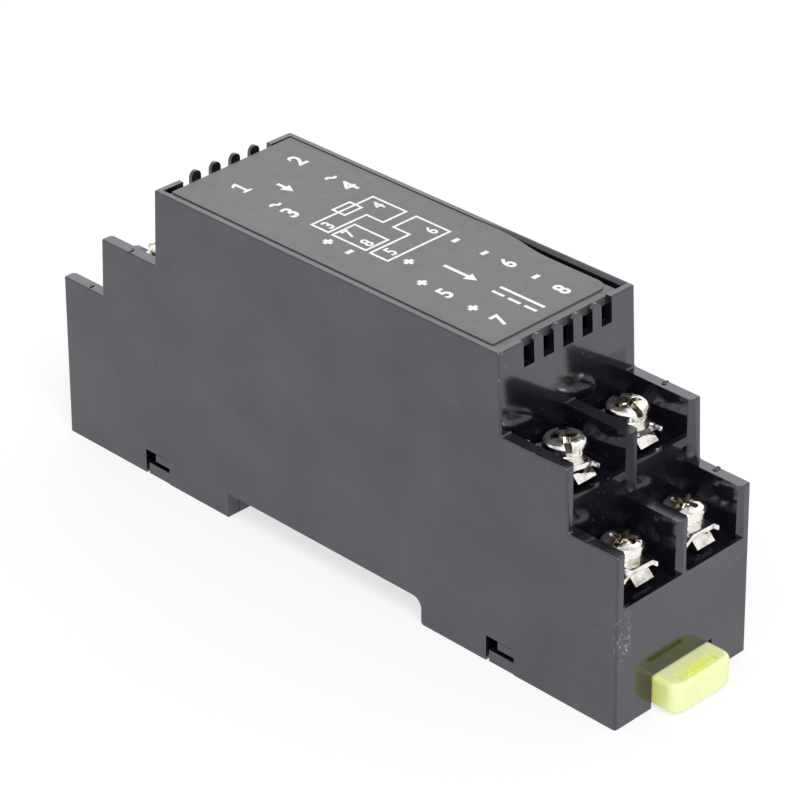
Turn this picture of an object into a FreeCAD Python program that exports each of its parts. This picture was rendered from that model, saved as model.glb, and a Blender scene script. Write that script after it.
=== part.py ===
import FreeCAD, Part
import math
import os

# Signal isolator that clips on a 35 mm top-hat rail.
# A stepped black housing carries two tiers of screw terminals at each end. A cover plate with a
# printed film closes its top, and a snap-in base with a fixed rail hook and a sprung sliding clip
# closes its underside. One circuit board lies inside.
#
# Sizes are millimetres. x runs along the module towards the clip, y along the rail, z up.
# The pieces are drawn from the middle of the housing's underside, and written from the rail
# seat: the middle of the notch's ceiling, over the centre line of a fitted rail.

# How far drawn pieces run into each other to fuse, and past a surface to cut it
join = 0.2
past = 1.0

# Housing outside
width = 25.8
width_top = 25.6
height = 46.8
base_length = 107.1
lower_tier_top = 25.8
lower_tier_draft = 0.5
upper_tier_top = 35.0
upper_tier_inset = 8.9
upper_tier_draft = 0.45
body_inset = 20.6
body_draft = 0.6
corner_round = 0.4
edge_round = 0.25

# Housing walls and hollow
side_wall = 1.95
end_wall = 1.8
body_wall = 1.75
barrier = 2.0
upper_ceiling = 26.6
lower_ceiling = 15.6
rib_width = 1.2
rib_depth = 0.9
rib_spacing = 16.0
rib_gap = 0.05

# Vent slots in the two end walls
slot_count = 5
slot_pitch = 3.65
slot_width = 1.95
slot_depth = 3.65
tooth_thick = 0.6
tooth_rise = 0.6
tooth_set_in = 0.05

# Cover plate and film
rim_wall = 0.9
rim_end_wall = 1.0
rim_round = 0.75
rim_round_least = 0.1
rim_round_run = 3.5
film_drop = 0.12
film_thick = 0.2
cover_thick = 1.3
cover_clearance = 0.05
cover_rim_wall = 1.0
cover_rim_deep = 1.2
cover_rim_gap = 0.6
cover_rim_end_gap = 2.2
cover_short_near = 0.9
cover_short_far = 0.05
cover_bow = 1.25
cover_bow_start = 8.5
cover_bow_end = 20.5
film_near_margin = 0.6
film_end_margin = 1.4
film_corner = 1.9
film_small_corner = 0.3

# Terminal cells
upper_floor = 29.8
lower_floor = 19.0
cell_back_inset = 10.3
trough_from_screw = 2.4
trough_depth = 1.4
trough_width = 2.4
trough_slope = 0.3
lip_drop = 0.35
lip_reach = 0.6
lip_thick = 1.6
lip_bevel = 0.2
lip_under_slope = 0.5
sill_drop = 1.1
sill_crest_drop = 0.2
mouth_flare = 0.6
screw_inset = 5.8
terminal_pitch = 10.1

# Terminal hardware
plate_thick = 0.8
plate_width = 3.4
plate_eye = 2.6
plate_front = 2.57
tip_length = 1.22
plate_hole_gap = 0.1
tab_width = 3.0
tab_inset = 3.4
clamp_length = 7.2
clamp_width = 6.7
clamp_flat = 3.8
clamp_thick = 0.7
clamp_rise = 0.6
clamp_droop = 1.05
clamp_corner = 0.5
clamp_hole_gap = 0.15
screw_hole = 1.6
shank_radius = 1.45
shank_length = 6.4
washer_radius = 2.75
washer_height = 0.75
washer_bevel = 0.1
neck_radius = 2.35
neck_height = 0.15
head_radius = 2.95
head_height = 1.6
head_side = 0.75
head_round = 0.6
recess_width = 0.95
recess_length = 4.2
recess_depth = 1.5
recess_floor_radius = 0.6
driver_slot_depth = 0.95
boss_radius = 2.7
boss_depth = 3.4
boss_floor = 0.9

# Rail notch, hook and clip
rail_width = 35.0
rail_flange = 1.0
rail_offset = -0.75
hook_gap = 1.0
clip_gap = 2.1
notch_height = 3.95
notch_round = 1.6
notch_foot_round = 0.5
hook_reach = 2.0
hook_height = 2.0
hook_length = 16.0
hook_bevel = 0.9
seat_relief = 0.4
relief_gap = 0.3
flange_clearance = 0.15
clip_width = 11.4
clip_low = 0.35
clip_top = 4.9
clip_out = 4.1
clip_corner = 1.8
clip_round = 0.8
clip_rib_width = 8.0
clip_rib_height = 1.0
clip_clearance = 0.15
clip_travel = 3.0
nose_reach = 3.5
nose_width = 10.0
nose_shoulder = 1.9
nose_lead_in = 1.1
nose_land = 0.8
handle_gap = 0.7
groove_width = 0.8
groove_length = 6.8
groove_depth = 0.6
groove_from_end = 1.35

# Clip spring and its window
window_from_notch = 7.15
window_width = 4.8
stop_gap = 0.1
stop_side_gap = 0.4
post_thick = 1.8
spring_pin_radius = 1.0
spring_pin_length = 1.3
spring_radius = 1.5
spring_wire = 0.4
spring_turns = 8
spring_squeezed = 7.1
spring_height = 2.9
spring_end_gap = 0.05

# Base cover
base_plate = 1.6
base_clearance = 0.1
channel_wall = 1.4
channel_lip = 1.2
channel_lip_reach = 1.65
channel_roof_gap = 0.05
latch_x = 33.7
latch_offset = -0.4
latch_window_width = 5.0
latch_window_height = 3.9
latch_foot_height = 1.8
latch_foot_gap = 0.5
latch_nose_gap = 2.0
latch_side_gap = 0.1
latch_set_back = 0.1
latch_nose_height = 1.3
latch_nose_land = 1.05
latch_top_gap = 0.05
latch_shank = 1.1

# Circuit board
board_bottom = 8.0
board_thick = 1.6
board_clearance = 0.4
board_corner = 1.5
post_radius = 1.4
post_pin_radius = 0.9
post_pin_height = 1.0
post_hole_radius = 1.0
post_end_inset = 5.2
post_side_inset = 1.6
tab_below_board = 1.0
tab_slot_clearance = 0.2
isolation_slot_width = 1.2
isolation_slot_length = 12.0

# Transformer
transformer_x = -2.0
core_length = 19.6
core_height = 16.0
core_depth = 6.0
core_leg = 3.0
core_middle = 6.0
core_yoke = 3.2
core_round = 0.4
core_fit = 0.1
bobbin_base = 2.4
bobbin_flange = 1.0
bobbin_wall = 0.8
bobbin_pin_gap = 0.4
bobbin_foot_margin = 0.6
flange_inset = 1.0
coil_inset = 0.2
coil_round = 1.2

# Capacitors, regulator and choke
row_wall_gap = 0.6
large_can_radius = 4.0
large_can_tall = 14.0
small_can_radius = 3.15
small_can_tall = 11.0
can_groove = 0.4
film_box_width = 4.0
film_box_length = 7.6
film_box_tall = 8.0
film_box_round = 0.5
film_box_inset = 0.7
regulator_width = 10.0
regulator_deep = 4.4
regulator_leg = 3.0
regulator_body = 9.0
regulator_tab = 6.0
tab_thick = 1.3
tab_hole = 1.8
choke_radius = 3.4
choke_waist = 2.6
choke_flange = 1.0
choke_tall = 5.6

# Chips, trimmers and axial parts
pin_pitch = 2.54
leg_half = 0.3
leg_out = 0.35
leg_thick = 0.3
chip_end_saving = 0.6
chip_half_y = 3.2
chip_stand = 0.7
chip_height = 3.2
chip_notch_radius = 0.8
chip_notch_depth = 0.6
trimmer_width = 4.8
trimmer_length = 9.0
trimmer_tall = 9.5
adjuster_inset = 1.7
adjuster_tall = 1.2
adjuster_radius = 1.1
adjuster_slot_width = 0.4
adjuster_slot_depth = 0.6
axial_wire = 0.3
axial_bend = 1.3
axial_stand = 0.1
axial_pitch = 2.6
axial_from_end = 2.6
resistor_radius = 1.1
resistor_length = 6.0
diode_radius = 1.2
diode_length = 5.0

V = FreeCAD.Vector
ALONG_X = V(1, 0, 0)
ALONG_Y = V(0, 1, 0)
ALONG_Z = V(0, 0, 1)

# Values that follow from the sizes above
half_width = width / 2
half_width_top = width_top / 2
half_length = base_length / 2
lower_half_top = half_length - lower_tier_draft
upper_half_low = half_length - upper_tier_inset
upper_half_top = upper_half_low - upper_tier_draft
body_half_low = half_length - body_inset
body_half_top = body_half_low - body_draft
lower_screw_x = half_length - screw_inset
upper_screw_x = lower_screw_x - terminal_pitch
cell_back = half_length - cell_back_inset
inner_y = half_width - side_wall
column_y = (barrier / 2 + inner_y) / 2
inner_end = half_length - end_wall
inner_upper = cell_back - end_wall
inner_body = body_half_low - body_wall
film_top = height - film_drop
cover_top = film_top - film_thick
ledge = cover_top - cover_thick
rail_centre = rail_offset
notch_left = rail_centre - rail_width / 2 - hook_gap
notch_right = rail_centre + rail_width / 2 + clip_gap
flange_under = notch_height - rail_flange
nose_top = flange_under - flange_clearance
nose_low = channel_lip + clip_clearance
hook_tip = notch_left + hook_reach
nose_tip = notch_right - nose_reach
channel_top = clip_top + clip_clearance
channel_half = clip_width / 2 + clip_clearance
channel_start = notch_right + base_plate
tongue_start = channel_start + clip_clearance
handle_start = inner_end - base_clearance - clip_clearance - handle_gap
clip_end = half_length + clip_out
window_start = notch_right + window_from_notch
stop_right = window_start + post_thick + clip_travel + spring_squeezed
window_end = stop_right + stop_gap
board_top = board_bottom + board_thick
board_half_x = inner_end - board_clearance
board_half_y = inner_y - board_clearance
post_x = board_half_x - post_end_inset
post_y = board_half_y - post_side_inset
upper_tab_x = upper_screw_x - tab_inset
transformer_end = core_length / 2 + bobbin_foot_margin
screw_seat = plate_thick + clamp_rise + clamp_thick
tooth_zone = (slot_count - 1) / 2 * slot_pitch + slot_width / 2


def body_end(z):
    """Half length of the body at height z, on its drafted end face."""
    return body_half_top + body_draft * (height - z) / (height - upper_tier_top)


def lower_end(z):
    """Half length of the lower terminal tier at height z."""
    return half_length - lower_tier_draft * z / lower_tier_top


def block(x, y, z):
    """A box from three (low, high) pairs."""
    return Part.makeBox(x[1] - x[0], y[1] - y[0], z[1] - z[0], V(x[0], y[0], z[0]))


def centred(x, half_y, z):
    """A box that is symmetric about the module's middle plane."""
    return block(x, (-half_y, half_y), z)


def side_prism(outline, y_low, y_high):
    """A closed (x, z) outline pushed along y."""
    points = [V(x, y_low, z) for x, z in outline]
    face = Part.Face(Part.makePolygon(points + points[:1]))
    return face.extrude(V(0, y_high - y_low, 0))


def end_prism(outline, x_low, x_high):
    """A closed (y, z) outline pushed along x."""
    points = [V(x_low, y, z) for y, z in outline]
    face = Part.Face(Part.makePolygon(points + points[:1]))
    return face.extrude(V(x_high - x_low, 0, 0))


def plan_prism(outline, z_low, z_high):
    """A closed (x, y) outline pushed up along z."""
    points = [V(x, y, z_low) for x, y in outline]
    face = Part.Face(Part.makePolygon(points + points[:1]))
    return face.extrude(V(0, 0, z_high - z_low))


def post(x, y, z_low, z_high, radius):
    """An upright cylinder."""
    return Part.makeCylinder(radius, z_high - z_low, V(x, y, z_low), ALONG_Z)


def fuse_all(shapes):
    """One solid from pieces that meet."""
    joined = shapes[0]
    for shape in shapes[1:]:
        joined = joined.fuse(shape)
    return joined.removeSplitter()


def cut_all(shape, tools):
    """The shape less each tool."""
    for tool in tools:
        shape = shape.cut(tool)
    return shape


def mirror_x(shape):
    """The same piece at the module's other end."""
    return shape.mirror(V(0, 0, 0), ALONG_X)


def mirror_y(shape):
    """The same piece on the module's other side."""
    return shape.mirror(V(0, 0, 0), ALONG_Y)


def steep_edges(shape):
    """The edges that run mostly upwards."""
    found = []
    for edge in shape.Edges:
        start = edge.Vertexes[0].Point
        end = edge.Vertexes[-1].Point
        run = end - start
        if run.Length > 0 and abs(run.z) > 0.9 * run.Length:
            found.append(edge)
    return found


def edges_at_height(shape, z):
    """The edges that lie level at height z."""
    return [
        edge
        for edge in shape.Edges
        if abs(edge.BoundBox.ZMin - z) < 1e-4 and abs(edge.BoundBox.ZMax - z) < 1e-4
    ]


# Housing


def stepped_outline():
    """Side view of the housing: drafted body over two drafted terminal tiers."""
    right = [
        (half_length, 0),
        (lower_half_top, lower_tier_top),
        (upper_half_low, lower_tier_top),
        (upper_half_top, upper_tier_top),
        (body_half_low, upper_tier_top),
        (body_half_top, height),
    ]
    left = [(-x, z) for x, z in reversed(right)]
    return right + left


def housing_outside():
    """The stepped block, narrowed a little upwards, with rounded corners and soft upper edges."""
    block_long = side_prism(stepped_outline(), -half_width, half_width)
    taper = [
        (-half_width, 0),
        (half_width, 0),
        (half_width_top, height),
        (-half_width_top, height),
    ]
    solid = block_long.common(end_prism(taper, -base_length, base_length))
    solid = solid.makeFillet(corner_round, steep_edges(solid))
    tops = []
    for level in (height, upper_tier_top, lower_tier_top):
        tops += [edge for edge in edges_at_height(solid, level) if is_outer_edge(edge)]
    return solid.makeFillet(edge_round, tops)


def is_outer_edge(edge):
    """False for an inner corner, where a tier's top meets the wall above it."""
    x = abs(edge.CenterOfMass.x)
    across = edge.BoundBox.XLength < 1e-4
    inner = [body_half_low, upper_half_low]
    return not (across and min(abs(x - place) for place in inner) < 0.01)


def housing_hollow():
    """The open space inside, one box for each step."""
    return fuse_all([
        centred((-inner_end, inner_end), inner_y, (-past, lower_ceiling)),
        centred((-inner_upper, inner_upper), inner_y, (-past, upper_ceiling)),
        centred((-inner_body, inner_body), inner_y, (-past, height + past)),
    ])


def cover_recess():
    """The seat for the cover plate, wider than the hollow so that a ledge is left."""
    half_x = body_half_top - rim_end_wall
    return centred((-half_x, half_x), half_width_top - rim_wall, (ledge, height + past))


def round_profile(x, radius):
    """Section at x of what is cut away to round the rim's inner edge by that radius."""
    y = half_width_top - rim_wall
    low = height - radius
    slant = radius * math.sqrt(0.5)
    arc = Part.Arc(V(x, y, low), V(x, y + radius - slant, low + slant), V(x, y + radius, height))
    corners = [
        V(x, y + radius, height),
        V(x, y + radius, height + past),
        V(x, y - join, height + past),
        V(x, y - join, low),
        V(x, y, low),
    ]
    return Part.Wire([arc.toShape()] + Part.makePolygon(corners).Edges)


def rim_rounding():
    """The soft inner edge of the far rim where the cover bows away, and its run-out."""
    start = round_profile(cover_bow_start - rim_round_run, rim_round_least)
    full = round_profile(cover_bow_start + rim_round_run, rim_round)
    run_out = Part.makeLoft([start, full], True, True)
    length = body_half_top - rim_end_wall - cover_bow_start - rim_round_run
    return [run_out, Part.Face(full).extrude(V(length, 0, 0))]


def vent_cuts(crest):
    """Open-topped slots in the right end wall, and the rounding of the teeth at their crest."""
    wall = (inner_body - past, body_half_low + past)
    floor = height - slot_depth
    tooth_half = (slot_pitch - slot_width) / 2
    first = -(slot_count - 1) / 2 * slot_pitch
    thinned = (wall[0], body_half_top - tooth_thick)
    cuts = [centred(thinned, tooth_zone, (ledge, crest + past))]
    for number in range(slot_count):
        y = first + number * slot_pitch
        cuts.append(block(wall, (y - slot_width / 2, y + slot_width / 2), (floor, crest + past)))
    for number in range(slot_count - 1):
        y = first + (number + 0.5) * slot_pitch
        above = block(wall, (y - tooth_half, y + tooth_half), (crest - tooth_half, crest + past))
        crown = Part.makeCylinder(
            tooth_half, wall[1] - wall[0], V(wall[0], y, crest - tooth_half), ALONG_X
        )
        cuts.append(above.cut(crown))
    return cuts


def tall_teeth():
    """The strip that the left end's higher teeth are cut from."""
    outside = tooth_set_in - body_half_top
    side = tooth_zone - slot_width / 2
    foot = height - edge_round - join
    return centred((outside, outside + tooth_thick), side, (foot, height + tooth_rise))


def cell_outline():
    """Side view of the space over both right-hand terminals, from the body's end outwards."""
    upper_front = upper_screw_x + trough_from_screw
    lower_front = lower_screw_x + trough_from_screw
    lip_top = upper_floor - lip_drop
    lip_front = cell_back + lip_reach
    sill_top = lower_floor - lip_drop
    sill_front = lower_end(lower_floor - sill_drop)
    beyond = half_length + past
    above = height + past
    return [
        (body_end(upper_floor), upper_floor),
        (upper_front, upper_floor),
        (upper_front, upper_floor - trough_depth),
        (upper_front + trough_width, upper_floor - trough_depth),
        (upper_front + trough_width + trough_slope, lip_top),
        (lip_front - lip_bevel, lip_top),
        (lip_front, lip_top - lip_bevel),
        (lip_front, lip_top - lip_thick + lip_under_slope),
        (cell_back, lip_top - lip_thick),
        (cell_back, lower_floor),
        (lower_front, lower_floor),
        (lower_front, lower_floor - trough_depth),
        (lower_front + trough_width, lower_floor - trough_depth),
        (lower_front + trough_width + trough_slope, sill_top - sill_crest_drop),
        (sill_front, lower_floor - sill_drop),
        (beyond, lower_floor - sill_drop),
        (beyond, above),
        (body_end(above), above),
    ]


def mouth_flare_cut(end, z_low, z_high):
    """The widened mouth of one cell, a 45 degree bevel on both of its side edges."""
    start = end - mouth_flare
    run = mouth_flare + past
    low = barrier / 2
    high = inner_y
    outline = [
        (start, low),
        (start + run, low - run),
        (start + run, high + run),
        (start, high),
    ]
    return plan_prism(outline, z_low, z_high)


def terminal_cells():
    """The four cells of the right-hand end, two columns side by side."""
    column = side_prism(cell_outline(), barrier / 2, inner_y)
    upper_mouth = mouth_flare_cut(upper_half_top, lower_tier_top, upper_tier_top + past)
    lower_mouth = mouth_flare_cut(lower_half_top, lower_floor - sill_drop, lower_tier_top + past)
    right_side = [column, upper_mouth, lower_mouth]
    return right_side + [mirror_y(cut) for cut in right_side]


def terminal_sites():
    """Screw x, column y and floor height of the four right-hand terminals."""
    return [
        (x, side * column_y, floor)
        for x, floor in ((upper_screw_x, upper_floor), (lower_screw_x, lower_floor))
        for side in (-1, 1)
    ]


def terminal_bosses():
    """Blind bosses under the right-hand screws."""
    bosses = []
    for x, y, floor in terminal_sites():
        ceiling = upper_ceiling if floor == upper_floor else lower_ceiling
        bosses.append(post(x, y, ceiling - boss_depth, floor - join, boss_radius))
    return bosses


def terminal_holes():
    """Screw holes in the bosses, and slots in the floors for the plates' tabs."""
    cuts = []
    for x, y, floor in terminal_sites():
        ceiling = upper_ceiling if floor == upper_floor else lower_ceiling
        bottom = ceiling - boss_depth + boss_floor
        cuts.append(post(x, y, bottom, floor + past, screw_hole))
        tab_x = x - tab_inset
        gap = tab_slot_clearance
        slot_x = (tab_x - plate_thick / 2 - gap, tab_x + plate_thick / 2 + gap)
        slot_y = (y - tab_width / 2 - gap, y + tab_width / 2 + gap)
        cuts.append(block(slot_x, slot_y, (ceiling - past, floor + past)))
    return cuts


def notch_cut():
    """The rail notch in both side walls, rounded at the clip's end."""
    top = notch_height
    right = notch_right
    reach = half_width + past
    r = notch_round
    f = notch_foot_round
    bend = math.sqrt(0.5)
    points = {
        "foot": V(right + f, -reach, 0),
        "foot_mid": V(right + f - f * bend, -reach, f - f * bend),
        "wall_low": V(right, -reach, f),
        "wall_high": V(right, -reach, top - r),
        "corner_mid": V(right - r + r * bend, -reach, top - r + r * bend),
        "ceiling": V(right - r, -reach, top),
    }
    edges = [
        Part.makePolygon([
            points["ceiling"],
            V(notch_left, -reach, top),
            V(notch_left, -reach, -past),
            V(right + f, -reach, -past),
            points["foot"],
        ]),
        Part.Arc(points["foot"], points["foot_mid"], points["wall_low"]).toShape(),
        Part.LineSegment(points["wall_low"], points["wall_high"]).toShape(),
        Part.Arc(points["wall_high"], points["corner_mid"], points["ceiling"]).toShape(),
    ]
    wire = Part.Wire([edge for part in edges for edge in part.Edges])
    return Part.Face(wire).extrude(V(0, 2 * reach, 0))


def latch_spans():
    """The two places along x where the base snaps in, as (low, high)."""
    half = latch_window_width / 2
    middles = (latch_offset - latch_x, latch_offset + latch_x)
    return [(middle - half, middle + half) for middle in middles]


def latch_windows():
    """Snap windows that open through the lower edge of both side walls."""
    reach = half_width + past
    return [centred(span, reach, (-past, latch_window_height)) for span in latch_spans()]


def hold_down_ribs():
    """Ribs on the side walls that press the board on its posts."""
    height_span = (board_top + rib_gap, ledge)
    ribs = []
    for x in (transformer_x - rib_spacing / 2, transformer_x + rib_spacing / 2):
        span = (x - rib_width / 2, x + rib_width / 2)
        rib = block(span, (inner_y - rib_depth, inner_y + join), height_span)
        ribs += [rib, mirror_y(rib)]
    return ribs


def make_housing():
    """The moulded shell: stepped outside, hollow inside, cells, slots, windows and notch."""
    hollow = housing_hollow()
    right_bosses = terminal_bosses()
    bosses = right_bosses + [mirror_x(boss) for boss in right_bosses]
    right_cuts = terminal_cells() + terminal_holes()
    left_cuts = [mirror_x(cut) for cut in right_cuts + vent_cuts(height + tooth_rise)]
    right_cuts += vent_cuts(height) + rim_rounding()
    shell = cut_all(housing_outside(), [hollow, cover_recess()])
    shell = fuse_all([shell, tall_teeth()] + bosses + hold_down_ribs())
    shell = cut_all(shell, right_cuts + left_cuts + latch_windows() + [notch_cut()])
    gap = channel_roof_gap
    mouth_x = (inner_end - past, half_length + past)
    clip_mouth = centred(mouth_x, channel_half + gap, (-past, channel_top + gap))
    return shell.cut(clip_mouth).removeSplitter()


# Cover plate and film


def plate_outline(left_near, left_far, right, near_y, far_y):
    """Corners of a plate seen from above, its left end out of square and its far edge bowed in."""
    return [
        V(cover_bow_start, far_y, 0),
        V(left_far, far_y, 0),
        V(left_near, near_y, 0),
        V(right, near_y, 0),
        V(right, far_y - cover_bow, 0),
        V(cover_bow_end, far_y - cover_bow, 0),
    ]


def bowed_plate(corners, z_low, z_high):
    """The plate, with a smooth curve from its last corner back to its first."""
    start = corners[-1]
    end = corners[0]
    middle = (start.x + end.x) / 2
    curve = Part.BezierCurve()
    curve.setPoles([start, V(middle, start.y, 0), V(middle, end.y, 0), end])
    wire = Part.Wire(Part.makePolygon(corners).Edges + [curve.toShape()])
    plate = Part.Face(wire).extrude(V(0, 0, z_high - z_low))
    plate.translate(V(0, 0, z_low))
    return plate


def plate_corners(near_margin, end_margin):
    """Corners of the cover plate in its recess, drawn in by margins at its near edge and right end."""
    right = body_half_top - rim_end_wall - cover_clearance
    half_y = half_width_top - rim_wall - cover_clearance
    left_near = -right + cover_short_near
    left_far = -right + cover_short_far
    return plate_outline(left_near, left_far, right - end_margin, -half_y + near_margin, half_y)


def make_top_cover():
    """The inset lid, a little short at the left, with a locating rim underneath."""
    lid = bowed_plate(plate_corners(0, 0), ledge, cover_top)
    rim_x = inner_body - cover_rim_end_gap
    rim_y = inner_y - rib_depth - cover_rim_gap
    wall = cover_rim_wall
    rim = centred((-rim_x, rim_x), rim_y, (ledge - cover_rim_deep, ledge + join))
    hollow = centred((wall - rim_x, rim_x - wall), rim_y - wall, (ledge - 2 * wall, ledge))
    return fuse_all([lid, rim.cut(hollow)])


def make_label_film():
    """The printed film on the cover, its far right corner well rounded and the others a little."""
    corners = plate_corners(film_near_margin, film_end_margin)
    film = bowed_plate(corners, cover_top, film_top)
    far_right = []
    others = []
    for edge in steep_edges(film):
        place = edge.CenterOfMass
        if abs(place.x - corners[4].x) < join and place.y > 0:
            far_right.append(edge)
        elif min(abs(place.x - corner.x) for corner in corners[1:4]) < join:
            others.append(edge)
    return film.makeFillet(film_corner, far_right).makeFillet(film_small_corner, others)


# Base cover


def base_profile():
    """Side view of the base plate, stepped up over the rail notch."""
    end = inner_end - base_clearance
    t = base_plate
    return [
        (-end, 0),
        (notch_left, 0),
        (notch_left, notch_height),
        (notch_right, notch_height),
        (notch_right, 0),
        (end, 0),
        (end, t),
        (notch_right + t, t),
        (notch_right + t, notch_height + t),
        (notch_left - t, notch_height + t),
        (notch_left - t, t),
        (-end, t),
    ]


def clip_channel_walls():
    """Side walls and roof of the clip's tunnel."""
    end = inner_end - base_clearance
    half = channel_half + channel_wall
    return centred((notch_right, end), half, (0, channel_top + channel_wall))


def clip_channel_cuts():
    """The tunnel's space: wide over the retaining lips, narrow between them."""
    beyond = inner_end + past
    lip_half = channel_half - channel_lip_reach
    lip_end = handle_start - 2 * clip_clearance
    nose_half = nose_width / 2 + 2 * clip_clearance
    return [
        centred((channel_start, beyond), channel_half, (channel_lip, channel_top)),
        centred((channel_start, beyond), lip_half, (-past, channel_top)),
        centred((lip_end, beyond), channel_half, (-past, channel_top)),
        centred((notch_right - past, channel_start + past), nose_half, (-past, nose_top + join)),
    ]


def spring_post():
    """The fixed stop that hangs in the clip's window, with a pin for the spring."""
    left = stop_right - post_thick
    half = window_width / 2 - stop_side_gap
    stop = centred((left, stop_right), half, (channel_lip, channel_top + join))
    pin = Part.makeCylinder(
        spring_pin_radius, spring_pin_length + join,
        V(left - spring_pin_length, 0, spring_height), ALONG_X,
    )
    return fuse_all([stop, pin])


def fixed_hook():
    """The tooth that reaches under the rail's left flange."""
    low = nose_top - hook_height
    outline = [
        (notch_left - join, low),
        (hook_tip - hook_bevel, low),
        (hook_tip, low + hook_bevel),
        (hook_tip, nose_top),
        (notch_left - join, nose_top),
    ]
    return side_prism(outline, -hook_length / 2, hook_length / 2)


def seat_reliefs():
    """Shallow pockets in the rail seat, where the mould's cores reach over hook and nose."""
    gap = relief_gap
    depth = (notch_height - past, notch_height + seat_relief)
    over_hook = centred((notch_left, hook_tip + gap), hook_length / 2 + gap, depth)
    over_nose = centred((nose_tip - gap, notch_right), nose_width / 2 + 2 * gap, depth)
    return [over_hook, over_nose]


def base_latches():
    """Foot tabs and snap hooks that sit in the housing's windows."""
    wall_in = inner_y - base_clearance
    tab_out = half_width - latch_set_back
    nose_top_z = latch_window_height - latch_top_gap
    nose_low_z = nose_top_z - latch_nose_height
    nose_outline = [
        (wall_in - join, nose_low_z),
        (tab_out, nose_low_z),
        (tab_out, nose_low_z + latch_nose_land),
        (tab_out - nose_top_z + nose_low_z + latch_nose_land, nose_top_z),
        (wall_in - join, nose_top_z),
    ]
    latches = []
    for low, high in latch_spans():
        foot_span = (low + latch_foot_gap, high - latch_side_gap)
        nose_span = (low + latch_nose_gap, high - latch_side_gap)
        foot = block(foot_span, (wall_in - past, tab_out), (0, latch_foot_height))
        shank = block(nose_span, (wall_in - latch_shank, wall_in), (0, nose_top_z))
        nose = end_prism(nose_outline, nose_span[0], nose_span[1])
        one_side = fuse_all([foot, shank, nose])
        latches += [one_side, mirror_y(one_side)]
    return latches


def board_posts():
    """Posts that the board rests on, with locating pins."""
    posts = []
    for x in (-post_x, 0, post_x):
        foot = notch_height if x == 0 else 0
        for y in (-post_y, post_y):
            posts.append(post(x, y, foot + base_plate / 2, board_bottom, post_radius))
            posts.append(post(x, y, board_bottom, board_top + post_pin_height, post_pin_radius))
    return posts


def make_base_cover():
    """The snap-in underside with hook, clip tunnel, latches and board posts."""
    half_y = inner_y - base_clearance
    plate = side_prism(base_profile(), -half_y, half_y)
    solid = fuse_all([plate, clip_channel_walls()])
    solid = cut_all(solid, clip_channel_cuts() + seat_reliefs())
    return fuse_all([solid, spring_post(), fixed_hook()] + base_latches() + board_posts())


# Rail clip and its spring


def clip_handle():
    """The pull at the clip's end, rounded all over its free end."""
    half = clip_width / 2
    handle = centred((handle_start, clip_end), half, (clip_low, clip_top))
    corners = [edge for edge in steep_edges(handle) if edge.BoundBox.XMin > clip_end - 1e-4]
    handle = handle.makeFillet(clip_corner, corners)
    rounded_from = clip_end - clip_corner - 1e-4
    levels = edges_at_height(handle, clip_top) + edges_at_height(handle, clip_low)
    free_edges = [edge for edge in levels if edge.BoundBox.XMin > rounded_from]
    handle = handle.makeFillet(clip_round, free_edges)
    groove_x = clip_end - groove_from_end
    groove = centred(
        (groove_x - groove_width / 2, groove_x + groove_width / 2),
        groove_length / 2,
        (clip_top - groove_depth, clip_top + past),
    )
    return handle.cut(groove)


def clip_nose():
    """The tongue's tip that locks under the rail's right flange."""
    outline = [
        (nose_tip + nose_lead_in, nose_low),
        (tongue_start + nose_shoulder, nose_low),
        (tongue_start + nose_shoulder, nose_top),
        (nose_tip, nose_top),
        (nose_tip, nose_top - nose_land),
    ]
    return side_prism(outline, -nose_width / 2, nose_width / 2)


def make_rail_clip():
    """The sliding clip: handle, tongue with side flanges, spring window and nose."""
    span = (tongue_start, handle_start)
    tongue = centred(span, clip_width / 2, (nose_low, clip_top))
    rib = centred(span, clip_rib_width / 2, (nose_low - clip_rib_height, nose_low))
    window = centred((window_start, window_end), window_width / 2, (-past, clip_top + past))
    pin = Part.makeCylinder(
        spring_pin_radius, spring_pin_length + join,
        V(window_start - join, 0, spring_height), ALONG_X,
    )
    solid = fuse_all([tongue, rib, clip_handle(), clip_nose()]).cut(window)
    return fuse_all([solid, pin])


def make_clip_spring():
    """The compression spring between the clip's window and the fixed stop."""
    wire = spring_wire / 2
    start = window_start + wire + spring_end_gap
    end = stop_right - post_thick - wire - spring_end_gap
    pitch = (end - start) / spring_turns
    helix = Part.makeHelix(pitch, end - start, spring_radius)
    section = Part.Wire(Part.Circle(V(spring_radius, 0, 0), ALONG_Y, wire).toShape())
    coil = Part.Wire(helix).makePipeShell([section], True, True)
    coil.rotate(V(0, 0, 0), ALONG_Y, 90)
    coil.translate(V(start, 0, spring_height))
    return coil


# Terminal hardware, drawn at the origin with the housing floor at z = 0


def make_terminal_plate(drop):
    """Brass strip: an eye threaded under the screw, tip bent down 45 degrees, tab through the floor."""
    t = plate_thick
    back = -tab_inset - t / 2
    slope = tip_length * math.sqrt(0.5)
    skin = t * math.sqrt(0.5)
    outline = [
        (back, 0),
        (plate_front, 0),
        (plate_front + slope, -slope),
        (plate_front + slope + skin, skin - slope),
        (plate_front + t * (math.sqrt(2) - 1), t),
        (back, t),
    ]
    strip = side_prism(outline, -plate_width / 2, plate_width / 2)
    tab = block((back, back + t), (-tab_width / 2, tab_width / 2), (-drop, t))
    hole = post(0, 0, -past, t + past, shank_radius + plate_hole_gap)
    return fuse_all([strip, post(0, 0, 0, t, plate_eye), tab]).cut(hole)


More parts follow.
